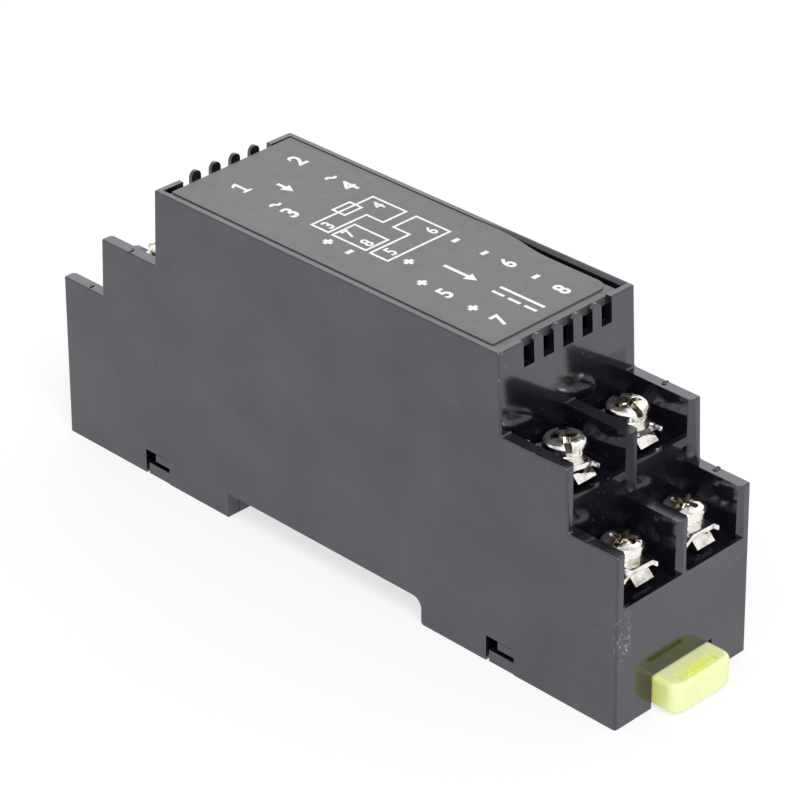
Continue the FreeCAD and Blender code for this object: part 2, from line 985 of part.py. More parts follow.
def make_wire_clamp():
    """Square saddle washer, flat under the screw head with both sides bent down past the plate."""
    flat = clamp_flat / 2
    edge = clamp_width / 2
    under = plate_thick + clamp_rise
    top = under + clamp_thick
    outline = [
        (-edge, under - clamp_droop),
        (-flat, under),
        (flat, under),
        (edge, under - clamp_droop),
        (edge, top - clamp_droop),
        (flat, top),
        (-flat, top),
        (-edge, top - clamp_droop),
    ]
    solid = end_prism(outline, -clamp_length / 2, clamp_length / 2)
    solid = solid.makeFillet(clamp_corner, steep_edges(solid))
    return solid.cut(post(0, 0, -past, top + past, shank_radius + clamp_hole_gap))


def screw_section():
    """Half section of a screw with its captive spring washer, cut at the clamp's top as z = 0."""
    b = washer_bevel
    low = washer_height + neck_height
    shoulder = low + head_side
    rim = shoulder + head_round
    top = low + head_height
    crown_radius = head_radius - head_round
    ball_radius = (crown_radius ** 2 + (top - rim) ** 2) / (2 * (top - rim))
    crown_z = top - ball_radius + math.sqrt(ball_radius ** 2 - crown_radius ** 2 / 4)
    bend = head_round * math.sqrt(0.5)
    straight = [
        (0, -shank_length),
        (shank_radius, -shank_length),
        (shank_radius, 0),
        (washer_radius, 0),
        (washer_radius, washer_height - b),
        (washer_radius - b, washer_height),
        (neck_radius, washer_height),
        (neck_radius, low),
        (head_radius - b, low),
        (head_radius, low + b),
        (head_radius, shoulder),
    ]
    points = [V(radius, 0, z) for radius, z in straight]
    rim_bend = V(crown_radius + bend, 0, shoulder + bend)
    rim_end = V(crown_radius, 0, rim)
    crown_end = V(0, 0, top)
    edges = Part.makePolygon(points).Edges + [
        Part.Arc(points[-1], rim_bend, rim_end).toShape(),
        Part.Arc(rim_end, V(crown_radius / 2, 0, crown_z), crown_end).toShape(),
        Part.LineSegment(crown_end, points[0]).toShape(),
    ]
    return Part.Face(Part.Wire(edges))


def cross_recess(top):
    """A cross whose arms get shallower outwards."""
    half = recess_width / 2
    reach = recess_length / 2
    span = (top - recess_depth, top + past)
    cross = block((-reach, reach), (-half, half), span).fuse(block((-half, half), (-reach, reach), span))
    floor = Part.makeCone(recess_floor_radius, reach, recess_depth, V(0, 0, top - recess_depth))
    above = post(0, 0, top, top + past, reach)
    return cross.common(floor.fuse(above))


def make_screw(turn):
    """Pan-head screw and spring washer, with a cross recess and a slot right across the head."""
    screw = screw_section().revolve(V(0, 0, 0), ALONG_Z, 360)
    screw.translate(V(0, 0, screw_seat))
    top = screw_seat + washer_height + neck_height + head_height
    beyond = head_radius + past
    slot = centred((-beyond, beyond), recess_width / 2, (top - driver_slot_depth, top + past))
    screw = cut_all(screw, [cross_recess(top), slot])
    screw.rotate(V(0, 0, 0), ALONG_Z, turn)
    return screw


def placed(shape, end, x, y, z):
    """A terminal piece moved to its cell, turned to face outwards at either end."""
    piece = shape.copy()
    if end < 0:
        piece = mirror_x(piece)
    piece.translate(V(end * x, y, z))
    return piece


# Circuit board and what stands on it


def make_circuit_board():
    """Board with rounded corners, post holes, tab slots and a milled isolation slot."""
    board = centred((-board_half_x, board_half_x), board_half_y, (board_bottom, board_top))
    board = board.makeFillet(board_corner, steep_edges(board))
    through = (board_bottom - past, board_top + past)
    holes = [
        post(x, y, through[0], through[1], post_hole_radius)
        for x in (-post_x, 0, post_x)
        for y in (-post_y, post_y)
    ]
    gap = tab_slot_clearance
    half_x = plate_thick / 2 + gap
    half_y = tab_width / 2 + gap
    for x, y, _ in terminal_sites():
        for tab_x in (x - tab_inset, tab_inset - x):
            holes.append(block((tab_x - half_x, tab_x + half_x), (y - half_y, y + half_y), through))
    slot_half = isolation_slot_width / 2
    slot_x = (transformer_x - slot_half, transformer_x + slot_half)
    holes.append(centred(slot_x, isolation_slot_length / 2, through))
    return cut_all(board, holes)


def core_window(side):
    """One of the two winding windows through the ferrite core, as (x, z) ranges."""
    inner = core_middle / 2
    outer = core_length / 2 - core_leg
    x = (inner, outer) if side > 0 else (-outer, -inner)
    low = board_top + bobbin_base + core_yoke
    high = board_top + bobbin_base + core_height - core_yoke
    return x, (low, high)


def make_transformer_core():
    """Ferrite core of two E halves, seen as one block with two windows."""
    low = board_top + bobbin_base
    core = centred((-core_length / 2, core_length / 2), core_depth / 2, (low, low + core_height))
    core = core.makeFillet(core_round, steep_edges(core))
    for side in (-1, 1):
        x, z = core_window(side)
        core = core.cut(centred(x, core_depth, z))
    core.translate(V(transformer_x, 0, 0))
    return core


def bobbin_half():
    """Half width of the former's foot, between the board's locating pins."""
    return post_y - post_pin_radius - bobbin_pin_gap


def make_transformer_bobbin():
    """Moulded former: a foot under the core, a sleeve on its middle leg and two flanges."""
    fit = core_fit
    x, z = core_window(1)
    low, high = z[0] + fit, z[1] - fit
    foot_y = bobbin_half()
    foot = centred((-transformer_end, transformer_end), foot_y, (board_top, board_top + bobbin_base))
    outer = x[1] - 2 * fit
    flange_y = foot_y - flange_inset
    lower_flange = centred((-outer, outer), flange_y, (low, low + bobbin_flange))
    upper_flange = centred((-outer, outer), flange_y, (high - bobbin_flange, high))
    sleeve_x = core_middle / 2 + fit
    sleeve_y = core_depth / 2 + fit
    neck = centred((-sleeve_x - bobbin_wall, sleeve_x + bobbin_wall), sleeve_y + bobbin_wall, (low, high))
    strut = block(
        (-bobbin_flange * 2, bobbin_flange * 2),
        (sleeve_y, sleeve_y + bobbin_flange),
        (board_top + bobbin_base / 2, low + bobbin_flange / 2),
    )
    bobbin = fuse_all([foot, lower_flange, upper_flange, neck, strut, mirror_y(strut)])
    bobbin = bobbin.cut(centred((-sleeve_x, sleeve_x), sleeve_y, (low - past, high + past)))
    bobbin.translate(V(transformer_x, 0, 0))
    return bobbin


def make_transformer_winding():
    """Taped winding round the former's neck, with rounded corners."""
    fit = core_fit
    x, z = core_window(1)
    span = (z[0] + fit + bobbin_flange, z[1] - fit - bobbin_flange)
    neck_x = core_middle / 2 + fit + bobbin_wall
    neck_y = core_depth / 2 + fit + bobbin_wall
    outer_x = x[1] - 4 * fit
    outer_y = bobbin_half() - flange_inset - coil_inset
    coil = centred((-outer_x, outer_x), outer_y, span)
    coil = coil.makeFillet(coil_round, steep_edges(coil))
    coil = coil.cut(centred((-neck_x, neck_x), neck_y, (span[0] - past, span[1] + past)))
    coil.translate(V(transformer_x, 0, 0))
    return coil


def row_y(half):
    """Distance from the middle plane to a row of parts along a side wall."""
    return inner_y - row_wall_gap - half


def spread(start, end, lengths):
    """Middles of parts set in a row between two x, with equal gaps."""
    gap = (end - start - sum(lengths)) / (len(lengths) + 1)
    middles = []
    x = start
    for length in lengths:
        middles.append(x + gap + length / 2)
        x += gap + length
    return middles


def chip_length(pins_a_side):
    """Body length of a dual in-line chip."""
    return pins_a_side * pin_pitch - chip_end_saving


def right_near_row():
    """Large can and isolation amplifier."""
    lengths = [2 * large_can_radius, chip_length(4)]
    return spread(transformer_x + transformer_end, upper_tab_x - plate_thick / 2, lengths)


def right_far_row():
    """Large can and regulator, whose tab needs the height of the body."""
    lengths = [2 * large_can_radius, regulator_deep]
    return spread(transformer_x + transformer_end, inner_body, lengths)


def left_near_row():
    """Span trimmer, zero trimmer and optocoupler."""
    lengths = [trimmer_width, trimmer_width, chip_length(2)]
    return spread(plate_thick / 2 - upper_tab_x, transformer_x - transformer_end, lengths)


def left_far_row():
    """Controller chip and small can."""
    lengths = [chip_length(4), 2 * small_can_radius]
    return spread(plate_thick / 2 - upper_tab_x, transformer_x - transformer_end, lengths)


def axial_x(number, end):
    """Place of an axial part under the lower terminals, counted from the module's end."""
    return end * (inner_end - axial_from_end - number * axial_pitch)


def right_middle_row():
    """Film capacitor and choke between the right-hand plates' tabs."""
    inner_resistor = axial_x(1, 1) - resistor_radius
    return spread(upper_tab_x - plate_thick / 2, inner_resistor, [film_box_width, 2 * choke_radius])


def standing_can(x, y, radius, tall):
    """Electrolytic capacitor: a can with a rolled groove near its foot and a softened rim."""
    low = board_top
    top = low + tall
    groove = can_groove
    profile = [
        (0, low),
        (radius, low),
        (radius, low + 3 * groove),
        (radius - groove, low + 4 * groove),
        (radius, low + 5 * groove),
        (radius, top - groove),
        (radius - groove, top),
        (0, top),
    ]
    points = [V(px, 0, pz) for px, pz in profile]
    can = Part.Face(Part.makePolygon(points + points[:1])).revolve(V(0, 0, 0), ALONG_Z, 360)
    can.translate(V(x, y, 0))
    return can


def make_filter_capacitors():
    """Two large electrolytics on the supply and a small one at the input."""
    large_y = row_y(large_can_radius)
    near = standing_can(right_near_row()[0], -large_y, large_can_radius, large_can_tall)
    far = standing_can(right_far_row()[0], large_y, large_can_radius, large_can_tall)
    small = standing_can(
        left_far_row()[1], row_y(small_can_radius), small_can_radius, small_can_tall
    )
    return Part.makeCompound([near, far, small])


def make_regulator():
    """Three-leg regulator standing across the module, with its drilled cooling tab."""
    half = regulator_width / 2
    x = right_far_row()[1] + regulator_deep / 2
    y = row_y(half)
    body_low = board_top + regulator_leg
    body_high = body_low + regulator_body
    tab_high = body_high + regulator_tab
    body = block((x - regulator_deep, x), (y - half, y + half), (body_low, body_high))
    tab = block((x - tab_thick, x), (y - half, y + half), (body_high, tab_high))
    hole_z = tab_high - regulator_tab / 2
    hole = Part.makeCylinder(tab_hole, 2 * regulator_deep, V(x - regulator_deep, y, hole_z), ALONG_X)
    leg_x = x - regulator_deep / 2
    legs = [
        block(
            (leg_x - leg_half, leg_x + leg_half),
            (y + k * pin_pitch - leg_half, y + k * pin_pitch + leg_half),
            (board_top, body_low + join),
        )
        for k in (-1, 0, 1)
    ]
    return fuse_all([body, tab.cut(hole)] + legs)


def chip_y():
    """Middle of a chip in the row along a side wall, its legs counted."""
    return row_y(chip_half_y + leg_out + leg_thick)


def chip_leg(x):
    """One bent leg: out of the chip's side and down to the board."""
    bend_z = board_top + chip_stand + chip_height / 2
    rooted = chip_half_y - join
    inside = chip_half_y + leg_out
    outside = inside + leg_thick
    outline = [
        (rooted, bend_z),
        (inside, bend_z),
        (inside, board_top),
        (outside, board_top),
        (outside, bend_z + leg_thick),
        (rooted, bend_z + leg_thick),
    ]
    return end_prism(outline, x - leg_half, x + leg_half)


def dual_in_line(x, y, pins_a_side):
    """A chip on two rows of bent legs, with a notch that marks its first end."""
    length = chip_length(pins_a_side)
    low = board_top + chip_stand
    body = centred((-length / 2, length / 2), chip_half_y, (low, low + chip_height))
    top = low + chip_height
    body = body.cut(post(-length / 2, 0, top - chip_notch_depth, top + past, chip_notch_radius))
    parts = [body]
    for number in range(pins_a_side):
        leg = chip_leg((number - (pins_a_side - 1) / 2) * pin_pitch)
        parts += [leg, mirror_y(leg)]
    chip = fuse_all(parts)
    chip.translate(V(x, y, 0))
    return chip


def make_isolation_amplifier():
    """The chip that carries the signal over the isolation gap."""
    return dual_in_line(right_near_row()[1], -chip_y(), 4)


def make_controller_chip():
    """The switching controller."""
    return dual_in_line(left_far_row()[0], chip_y(), 4)


def make_optocoupler():
    """Feedback coupler."""
    return dual_in_line(left_near_row()[2], -chip_y(), 2)


def trimmer(x):
    """Multi-turn trimming resistor with its slotted adjuster on top."""
    half_x = trimmer_width / 2
    half_y = trimmer_length / 2
    y = -row_y(half_y)
    top = board_top + trimmer_tall
    body = block((x - half_x, x + half_x), (y - half_y, y + half_y), (board_top, top))
    adjuster_y = y + half_y - adjuster_inset
    crest = top + adjuster_tall
    adjuster = post(x, adjuster_y, top - join, crest, adjuster_radius)
    slot_y = (adjuster_y - adjuster_slot_width / 2, adjuster_y + adjuster_slot_width / 2)
    slot = block((x - half_x, x + half_x), slot_y, (crest - adjuster_slot_depth, crest + past))
    return fuse_all([body, adjuster.cut(slot)])


def make_zero_trimmer():
    """Trimmer for the zero point."""
    return trimmer(left_near_row()[1])


def make_span_trimmer():
    """Trimmer for the span."""
    return trimmer(left_near_row()[0])


def axial_part(x, radius, length):
    """A body lying across the board with its two bent wires."""
    axis_z = board_top + radius + axial_stand
    body = Part.makeCylinder(radius, length, V(x, -length / 2, axis_z), ALONG_Y)
    inner = length / 2 - join
    outer = length / 2 + axial_bend
    outline = [
        (inner, axis_z - axial_wire),
        (outer - 2 * axial_wire, axis_z - axial_wire),
        (outer - 2 * axial_wire, board_top),
        (outer, board_top),
        (outer, axis_z + axial_wire),
        (inner, axis_z + axial_wire),
    ]
    wire = end_prism(outline, x - axial_wire, x + axial_wire)
    return fuse_all([body, wire, mirror_y(wire)])


def make_resistors():
    """Resistors under the terminals, where the space is low."""
    places = [axial_x(0, -1), axial_x(1, -1), axial_x(2, -1), axial_x(1, 1)]
    return Part.makeCompound([axial_part(x, resistor_radius, resistor_length) for x in places])


def make_diodes():
    """Protection diode beside the output terminals."""
    return axial_part(axial_x(0, 1), diode_radius, diode_length)


def film_box(x, y):
    """A boxed film capacitor with its corners rounded."""
    half_x = film_box_width / 2
    half_y = film_box_length / 2
    box = block((x - half_x, x + half_x), (y - half_y, y + half_y), (board_top, board_top + film_box_tall))
    return box.makeFillet(film_box_round, steep_edges(box))


def make_film_capacitors():
    """Boxed film capacitors under the upper terminals of both ends."""
    left_x = film_box_width / 2 + film_box_inset - inner_upper
    return Part.makeCompound([film_box(left_x, 0), film_box(right_middle_row()[0], 0)])


def make_output_choke():
    """Drum core choke: two flanges on a wound waist."""
    low = board_top
    high = low + choke_tall
    flange = choke_flange
    profile = [
        (0, low),
        (choke_radius, low),
        (choke_radius, low + flange),
        (choke_waist, low + flange),
        (choke_waist, high - flange),
        (choke_radius, high - flange),
        (choke_radius, high),
        (0, high),
    ]
    points = [V(px, 0, pz) for px, pz in profile]
    drum = Part.Face(Part.makePolygon(points + points[:1])).revolve(V(0, 0, 0), ALONG_Z, 360)
    drum.translate(V(right_middle_row()[1], 0, 0))
    return drum


# Everything that is written


def save(name, shape):
    """Move a piece to the rail seat's frame and write it."""
    piece = shape.copy()
    piece.translate(V(-rail_centre, 0, -notch_height))
    piece.exportStep("parts/" + name + ".step")


def terminal_places():
    """End, screw x, column y and floor of terminals 1 to 8, from the left end's lower tier."""
    lower = (lower_screw_x, lower_floor)
    upper = (upper_screw_x, upper_floor)
    places = []
    for end, (x, floor) in ((-1, lower), (-1, upper), (1, upper), (1, lower)):
        places.append((end, x, -column_y, floor))
        places.append((end, x, column_y, floor))
    return places


def save_terminals():
    """Plate, clamp and screw of each of the eight terminals, clamps and screws turned as they came."""
    screw_turns = [20, 75, 130, 40, 142, 165, 102, 104]
    clamp_turns = [5, -7, 3, 10, -14, -8, -3, -3]
    for number, site in enumerate(terminal_places(), start=1):
        floor = site[3]
        plate = make_terminal_plate(floor - board_bottom + tab_below_board)
        clamp = make_wire_clamp()
        clamp.rotate(V(0, 0, 0), ALONG_Z, clamp_turns[number - 1])
        screw = make_screw(screw_turns[number - 1])
        save("terminal_plate_%d" % number, placed(plate, *site))
        save("wire_clamp_%d" % number, placed(clamp, *site))
        save("terminal_screw_%d" % number, placed(screw, *site))


os.makedirs("parts", exist_ok=True)
save("housing", make_housing())
save("top_cover", make_top_cover())
save("label_film", make_label_film())
save("base_cover", make_base_cover())
save("rail_clip", make_rail_clip())
save("clip_spring", make_clip_spring())
save_terminals()
save("circuit_board", make_circuit_board())
save("transformer_core", make_transformer_core())
save("transformer_bobbin", make_transformer_bobbin())
save("transformer_winding", make_transformer_winding())
save("filter_capacitors", make_filter_capacitors())
save("regulator", make_regulator())
save("isolation_amplifier", make_isolation_amplifier())
save("controller_chip", make_controller_chip())
save("optocoupler", make_optocoupler())
save("zero_trimmer", make_zero_trimmer())
save("span_trimmer", make_span_trimmer())
save("resistors", make_resistors())
save("diodes", make_diodes())
save("film_capacitors", make_film_capacitors())
save("output_choke", make_output_choke())
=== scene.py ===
import math

import bmesh
import bpy
from mathutils import Matrix, Vector


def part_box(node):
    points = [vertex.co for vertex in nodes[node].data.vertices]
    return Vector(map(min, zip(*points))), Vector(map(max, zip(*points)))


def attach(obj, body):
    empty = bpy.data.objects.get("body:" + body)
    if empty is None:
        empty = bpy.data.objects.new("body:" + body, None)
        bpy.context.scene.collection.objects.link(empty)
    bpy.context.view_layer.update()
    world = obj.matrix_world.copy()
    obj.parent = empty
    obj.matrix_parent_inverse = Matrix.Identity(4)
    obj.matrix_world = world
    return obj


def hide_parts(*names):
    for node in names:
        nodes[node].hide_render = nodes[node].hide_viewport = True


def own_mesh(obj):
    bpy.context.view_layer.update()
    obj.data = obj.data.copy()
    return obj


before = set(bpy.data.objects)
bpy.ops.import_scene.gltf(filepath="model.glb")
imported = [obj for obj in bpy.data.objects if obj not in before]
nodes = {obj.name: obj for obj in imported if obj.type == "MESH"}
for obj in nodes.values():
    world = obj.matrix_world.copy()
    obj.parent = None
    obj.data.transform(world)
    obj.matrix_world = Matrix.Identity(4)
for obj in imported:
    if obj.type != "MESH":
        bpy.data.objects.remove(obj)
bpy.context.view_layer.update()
scene = bpy.context.scene

# Base cover
# Moulded in glossy black ABS. It snaps in from below and carries the fixed rail hook, the channel
# of the clip and the posts of the board.

shell_black = (0.0035, 0.0035, 0.0055, 1)
shell_grey_bloom = (0.0110, 0.0110, 0.0175, 1)
shell_gloss = (0.08, 0.13)
shell_specular = 1.0
shell_sheen_low = (0.75, 0.75, 0.86, 1)
shell_sheen_high = (0.93, 0.93, 1.0, 1)
abs_index = 1.57
sink_depth = 0.00002
shell_grain_depth = 0.0000022


def finish_named(name):
    """A new material with its node tree, its shader and its object coordinates."""
    material = bpy.data.materials.new(name)
    material.use_nodes = True
    tree = material.node_tree
    shader = tree.nodes["Principled BSDF"]
    place = tree.nodes.new("ShaderNodeTexCoord")
    return material, tree, shader, place.outputs["Object"]


def cloud(tree, place, size, detail=2.0, roughness=0.5):
    """Soft noise over the surface, size in waves a metre."""
    noise = tree.nodes.new("ShaderNodeTexNoise")
    noise.inputs["Scale"].default_value = size
    noise.inputs["Detail"].default_value = detail
    noise.inputs["Roughness"].default_value = roughness
    tree.links.new(place, noise.inputs["Vector"])
    return noise.outputs["Fac"]


def ramp(tree, value, low, high, start=0.3, end=0.7):
    """A value spread from colour low to colour high between start and end."""
    bands = tree.nodes.new("ShaderNodeValToRGB")
    bands.color_ramp.elements[0].position = start
    bands.color_ramp.elements[1].position = end
    bands.color_ramp.elements[0].color = low
    bands.color_ramp.elements[1].color = high
    tree.links.new(value, bands.inputs["Fac"])
    return bands.outputs["Color"]


def spread(tree, value, low, high, start=0.3, end=0.7):
    """A value spread from number low to number high between start and end."""
    span = tree.nodes.new("ShaderNodeMapRange")
    span.inputs["From Min"].default_value = start
    span.inputs["From Max"].default_value = end
    span.inputs["To Min"].default_value = low
    span.inputs["To Max"].default_value = high
    tree.links.new(value, span.inputs["Value"])
    return span.outputs["Result"]


def relief(tree, value, depth, below=None):
    """A bump of that depth in metres, on top of another bump."""
    bump = tree.nodes.new("ShaderNodeBump")
    bump.inputs["Distance"].default_value = depth
    tree.links.new(value, bump.inputs["Height"])
    if below is not None:
        tree.links.new(below, bump.inputs["Normal"])
    return bump.outputs["Normal"]


def surface(tree, shader, colour=None, roughness=None, normal=None, metallic=None):
    """Feed the shader what varies over the surface."""
    feeds = {"Base Color": colour, "Roughness": roughness, "Normal": normal, "Metallic": metallic}
    for name, value in feeds.items():
        if value is not None:
            tree.links.new(value, shader.inputs[name])


def dress(names, material):
    """Give CAD nodes their finish."""
    for name in names:
        nodes[name].data.materials.clear()
        nodes[name].data.materials.append(material)


def shell_material(name):
    """Black gloss with a faint grey bloom, slow sink ripples and a fine grain. Its parts."""
    material, tree, shader, place = finish_named(name)
    bloom = cloud(tree, place, 75.0, detail=6.0, roughness=0.65)
    gloss = cloud(tree, place, 240.0, detail=5.0, roughness=0.6)
    sheen = cloud(tree, place, 85.0, detail=7.0, roughness=0.62)
    sinks = relief(tree, cloud(tree, place, 55.0, detail=1.0), sink_depth)
    grain = cloud(tree, place, 2600.0, detail=3.0)
    surface(
        tree, shader,
        colour=ramp(tree, bloom, shell_black, shell_grey_bloom, start=0.3, end=0.75),
        roughness=spread(tree, gloss, *shell_gloss),
        normal=relief(tree, grain, shell_grain_depth, below=sinks),
    )
    tint = ramp(tree, sheen, shell_sheen_low, shell_sheen_high, start=0.36, end=0.64)
    tree.links.new(tint, shader.inputs["Specular Tint"])
    shader.inputs["Specular IOR Level"].default_value = shell_specular
    shader.inputs["IOR"].default_value = abs_index
    return material, tree, shader, place


shell_finish = shell_material("glossy_black_moulding")[0]
dress(["base_cover"], shell_finish)

# Rail clip
# Moulded in translucent yellow-green nylon, with painted shade, a deeper yellow-green, in its
# groove and on its flanks near the wall. It slides in the channel of the base cover.

clip_low = (0.79, 0.845, 0.41, 1)
clip_high = (0.84, 0.89, 0.51, 1)
# Painted shade: the deeper yellow-green of the groove and of the flanks near the wall.
clip_shade_colour = (0.86, 0.90, 0.26, 1)
clip_scatter = 0.5
clip_scatter_colours = (1.0, 1.0, 0.4)
clip_scatter_depth = 0.0008
groove_middle = (0.05660, 0.0, 0.00095)
groove_half = (0.0009, 0.0035, 0.0011)
flank_start = 0.0046
flank_end = 0.0058
wall_side_start = 0.0548
wall_side_end = 0.0578


def computed(tree, operation, *values):
    """A number worked out from sockets and plain numbers."""
    step = tree.nodes.new("ShaderNodeMath")
    step.operation = operation
    for number, value in enumerate(values):
        if isinstance(value, float):
            step.inputs[number].default_value = value
        else:
            tree.links.new(value, step.inputs[number])
    return step.outputs["Value"]


def both(tree, first, second):
    """Where two masks meet."""
    return computed(tree, "MULTIPLY", first, second)


def layered(tree, mask, under, over):
    """Colour over laid on colour under, where the mask is 1. Each is a colour or a socket."""
    mix = tree.nodes.new("ShaderNodeMix")
    mix.data_type = "RGBA"
    tree.links.new(mask, mix.inputs["Factor"])
    for socket, colour in ((mix.inputs[6], under), (mix.inputs[7], over)):
        if isinstance(colour, tuple):
            socket.default_value = colour
        else:
            tree.links.new(colour, socket)
    return mix.outputs[2]


def axis_value(tree, place, axis):
    """One coordinate of a place."""
    parts = tree.nodes.new("ShaderNodeSeparateXYZ")
    tree.links.new(place, parts.inputs["Vector"])
    return parts.outputs[axis]


def nearby(tree, place, middle, half, start, end):
    """1 inside a box about a point, fading to 0 between start and end times its half sizes."""
    mask = None
    for number, axis in enumerate("XYZ"):
        offset = computed(tree, "SUBTRACT", axis_value(tree, place, axis), middle[number])
        length = computed(tree, "ABSOLUTE", offset)
        inside = spread(tree, length, 1.0, 0.0, start * half[number], end * half[number])
        mask = inside if mask is None else both(tree, mask, inside)
    return mask


clip_finish, tree, shader, place = finish_named("translucent_yellow_green")
# Painted shade: the groove and the flanks near the wall take a deeper yellow-green.
groove = nearby(tree, place, groove_middle, groove_half, start=0.5, end=1.4)
off_middle = computed(tree, "ABSOLUTE", axis_value(tree, place, "Y"))
flank = spread(tree, off_middle, 0.0, 1.0, flank_start, flank_end)
wall_side = spread(tree, axis_value(tree, place, "X"), 1.0, 0.0, wall_side_start, wall_side_end)
cloudy = ramp(tree, cloud(tree, place, 120.0), clip_low, clip_high)
thick = layered(tree, both(tree, flank, wall_side), cloudy, clip_shade_colour)
surface(
    tree, shader,
    colour=layered(tree, groove, thick, clip_shade_colour),
    roughness=spread(tree, cloud(tree, place, 500.0, detail=3.0), 0.20, 0.32),
    normal=relief(tree, cloud(tree, place, 900.0), 0.00001),
)
shader.inputs["Subsurface Weight"].default_value = clip_scatter
shader.inputs["Subsurface Radius"].default_value = clip_scatter_colours
shader.inputs["Subsurface Scale"].default_value = clip_scatter_depth
dress(["rail_clip"], clip_finish)

# Clip spring
# Wound from 0.4 mm spring steel wire, with a closed turn at each end. It sits on two pins between
# the window of the clip and the stop of the base, and shortens as the clip is pulled out.

coil_radius = 0.0015
coil_wire = 0.0002
coil_room = 1.05 * coil_wire
coil_turns = 7
coil_steps = 20
coil_closed_turns = 0.8
coil_closed_rise = 0.06
steel_low = (0.42, 0.41, 0.39, 1)
steel_high = (0.60, 0.59, 0.57, 1)

spring_low, spring_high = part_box("clip_spring")
coil_start = spring_low.x + coil_room
coil_end = spring_high.x - coil_room
coil_z = (spring_low.z + spring_high.z) / 2


def wound(form, points, radius, sides=8):
    """A round wire along a line of points, closed at both ends."""
    rings = []
    for number, point in enumerate(points):
        before = points[max(number - 1, 0)]
        after = points[min(number + 1, len(points) - 1)]
        turn = (after - before).to_track_quat("Z", "Y").to_matrix()
        ring = []
        for side in range(sides):
            angle = 2 * math.pi * side / sides
            offset = Vector((radius * math.cos(angle), radius * math.sin(angle), 0))
            ring.append(form.verts.new(point + turn @ offset))
        rings.append(ring)
    for first, second in zip(rings, rings[1:]):
        for side in range(sides):
            after = (side + 1) % sides
            form.faces.new((first[side], first[after], second[after], second[side]))
    form.faces.new(list(reversed(rings[0])))
    form.faces.new(rings[-1])


def piece_from(form, name, material, body, smooth=False):
    """A named piece from mesh code, with its finish, riding on its body."""
    bmesh.ops.recalc_face_normals(form, faces=form.faces)
    mesh = bpy.data.meshes.new(name)
    for face in form.faces:
        face.smooth = smooth
    form.to_mesh(mesh)
    form.free()
    mesh.materials.append(material)
    piece = bpy.data.objects.new(name, mesh)
    scene.collection.objects.link(piece)
    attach(piece, body)
    return piece


steel_finish, tree, shader, place = finish_named("drawn_spring_steel")
surface(
    tree, shader,
    colour=ramp(tree, cloud(tree, place, 1800.0, detail=3.0), steel_low, steel_high),
    roughness=spread(tree, cloud(tree, place, 2600.0, detail=3.0), 0.22, 0.36),
)
shader.inputs["Metallic"].default_value = 1.0

coil_points = []
for step in range(coil_turns * coil_steps + 1):
    share = step / (coil_turns * coil_steps)
    open_turns = coil_turns - 2 * coil_closed_turns
    opened = min(max((share * coil_turns - coil_closed_turns) / open_turns, 0.0), 1.0)
    rise = coil_closed_rise * share + (1 - coil_closed_rise) * opened
    along = coil_start + (coil_end - coil_start) * rise
    angle = 2 * math.pi * coil_turns * share
    across = coil_radius * math.sin(angle)
    coil_points.append(Vector((along, across, coil_z + coil_radius * math.cos(angle))))
form = bmesh.new()
wound(form, coil_points, coil_wire)
spring = piece_from(form, "wound_spring", steel_finish, "module", smooth=True)
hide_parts("clip_spring")
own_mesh(spring)

# Circuit board
# Glass epoxy under green solder mask, with tracks that show through it and bare milled edges.

mask_green = (0.010, 0.075, 0.030, 1)
mask_green_pale = (0.012, 0.095, 0.038, 1)
track_green = (0.030, 0.19, 0.070, 1)
glass_low = (0.38, 0.33, 0.17, 1)
glass_high = (0.52, 0.46, 0.26, 1)
mask_thick = 0.0001

board_low, board_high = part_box("circuit_board")
board_top = board_high.z


def between(tree, value, low, high):
    """1 where a value lies between two levels, 0 elsewhere."""
    return computed(tree, "COMPARE", value, (low + high) / 2, (high - low) / 2)


board_finish, tree, shader, place = finish_named("green_solder_mask")
tracks = tree.nodes.new("ShaderNodeTexBrick")
tracks.inputs["Scale"].default_value = 150.0
tracks.inputs["Mortar Size"].default_value = 0.06
tracks.inputs["Color1"].default_value = mask_green
tracks.inputs["Color2"].default_value = mask_green_pale
tracks.inputs["Mortar"].default_value = track_green
tree.links.new(place, tracks.inputs["Vector"])
height = axis_value(tree, place, "Z")
inside = between(tree, height, board_low.z + mask_thick, board_top - mask_thick)
glass = ramp(tree, cloud(tree, place, 900.0, detail=3.0), glass_low, glass_high)
surface(
    tree, shader,
    colour=layered(tree, inside, tracks.outputs["Color"], glass),
    roughness=spread(tree, inside, 0.32, 0.75, start=0.0, end=1.0),
    normal=relief(tree, tracks.outputs["Fac"], 0.00003),
)
dress(["circuit_board"], board_finish)

# Transformer
# A sintered ferrite core on a black moulded former, its winding wrapped in yellow polyester tape.

ferrite_low = (0.024, 0.023, 0.024, 1)
ferrite_high = (0.060, 0.058, 0.058, 1)
former_low = (0.020, 0.019, 0.018, 1)
former_high = (0.036, 0.034, 0.031, 1)
tape_pale = (0.62, 0.42, 0.045, 1)
tape_bright = (0.78, 0.56, 0.08, 1)
seam_colour = (0.42, 0.27, 0.03, 1)
seam_start = 0.0042
seam_end = 0.0046
tape_thick = 0.00006

core_finish, tree, shader, place = finish_named("sintered_ferrite")
grains = cloud(tree, place, 2400.0, detail=5.0, roughness=0.7)
surface(
    tree, shader,
    colour=ramp(tree, grains, ferrite_low, ferrite_high),
    roughness=spread(tree, grains, 0.55, 0.38),
    normal=relief(tree, grains, 0.00003),
)
dress(["transformer_core"], core_finish)

former_finish, tree, shader, place = finish_named("moulded_former")
swirl = cloud(tree, place, 300.0, detail=4.0, roughness=0.6)
surface(
    tree, shader,
    colour=ramp(tree, swirl, former_low, former_high),
    roughness=spread(tree, swirl, 0.42, 0.60),
    normal=relief(tree, cloud(tree, place, 1900.0, detail=3.0), 0.00002),
)
dress(["transformer_bobbin"], former_finish)

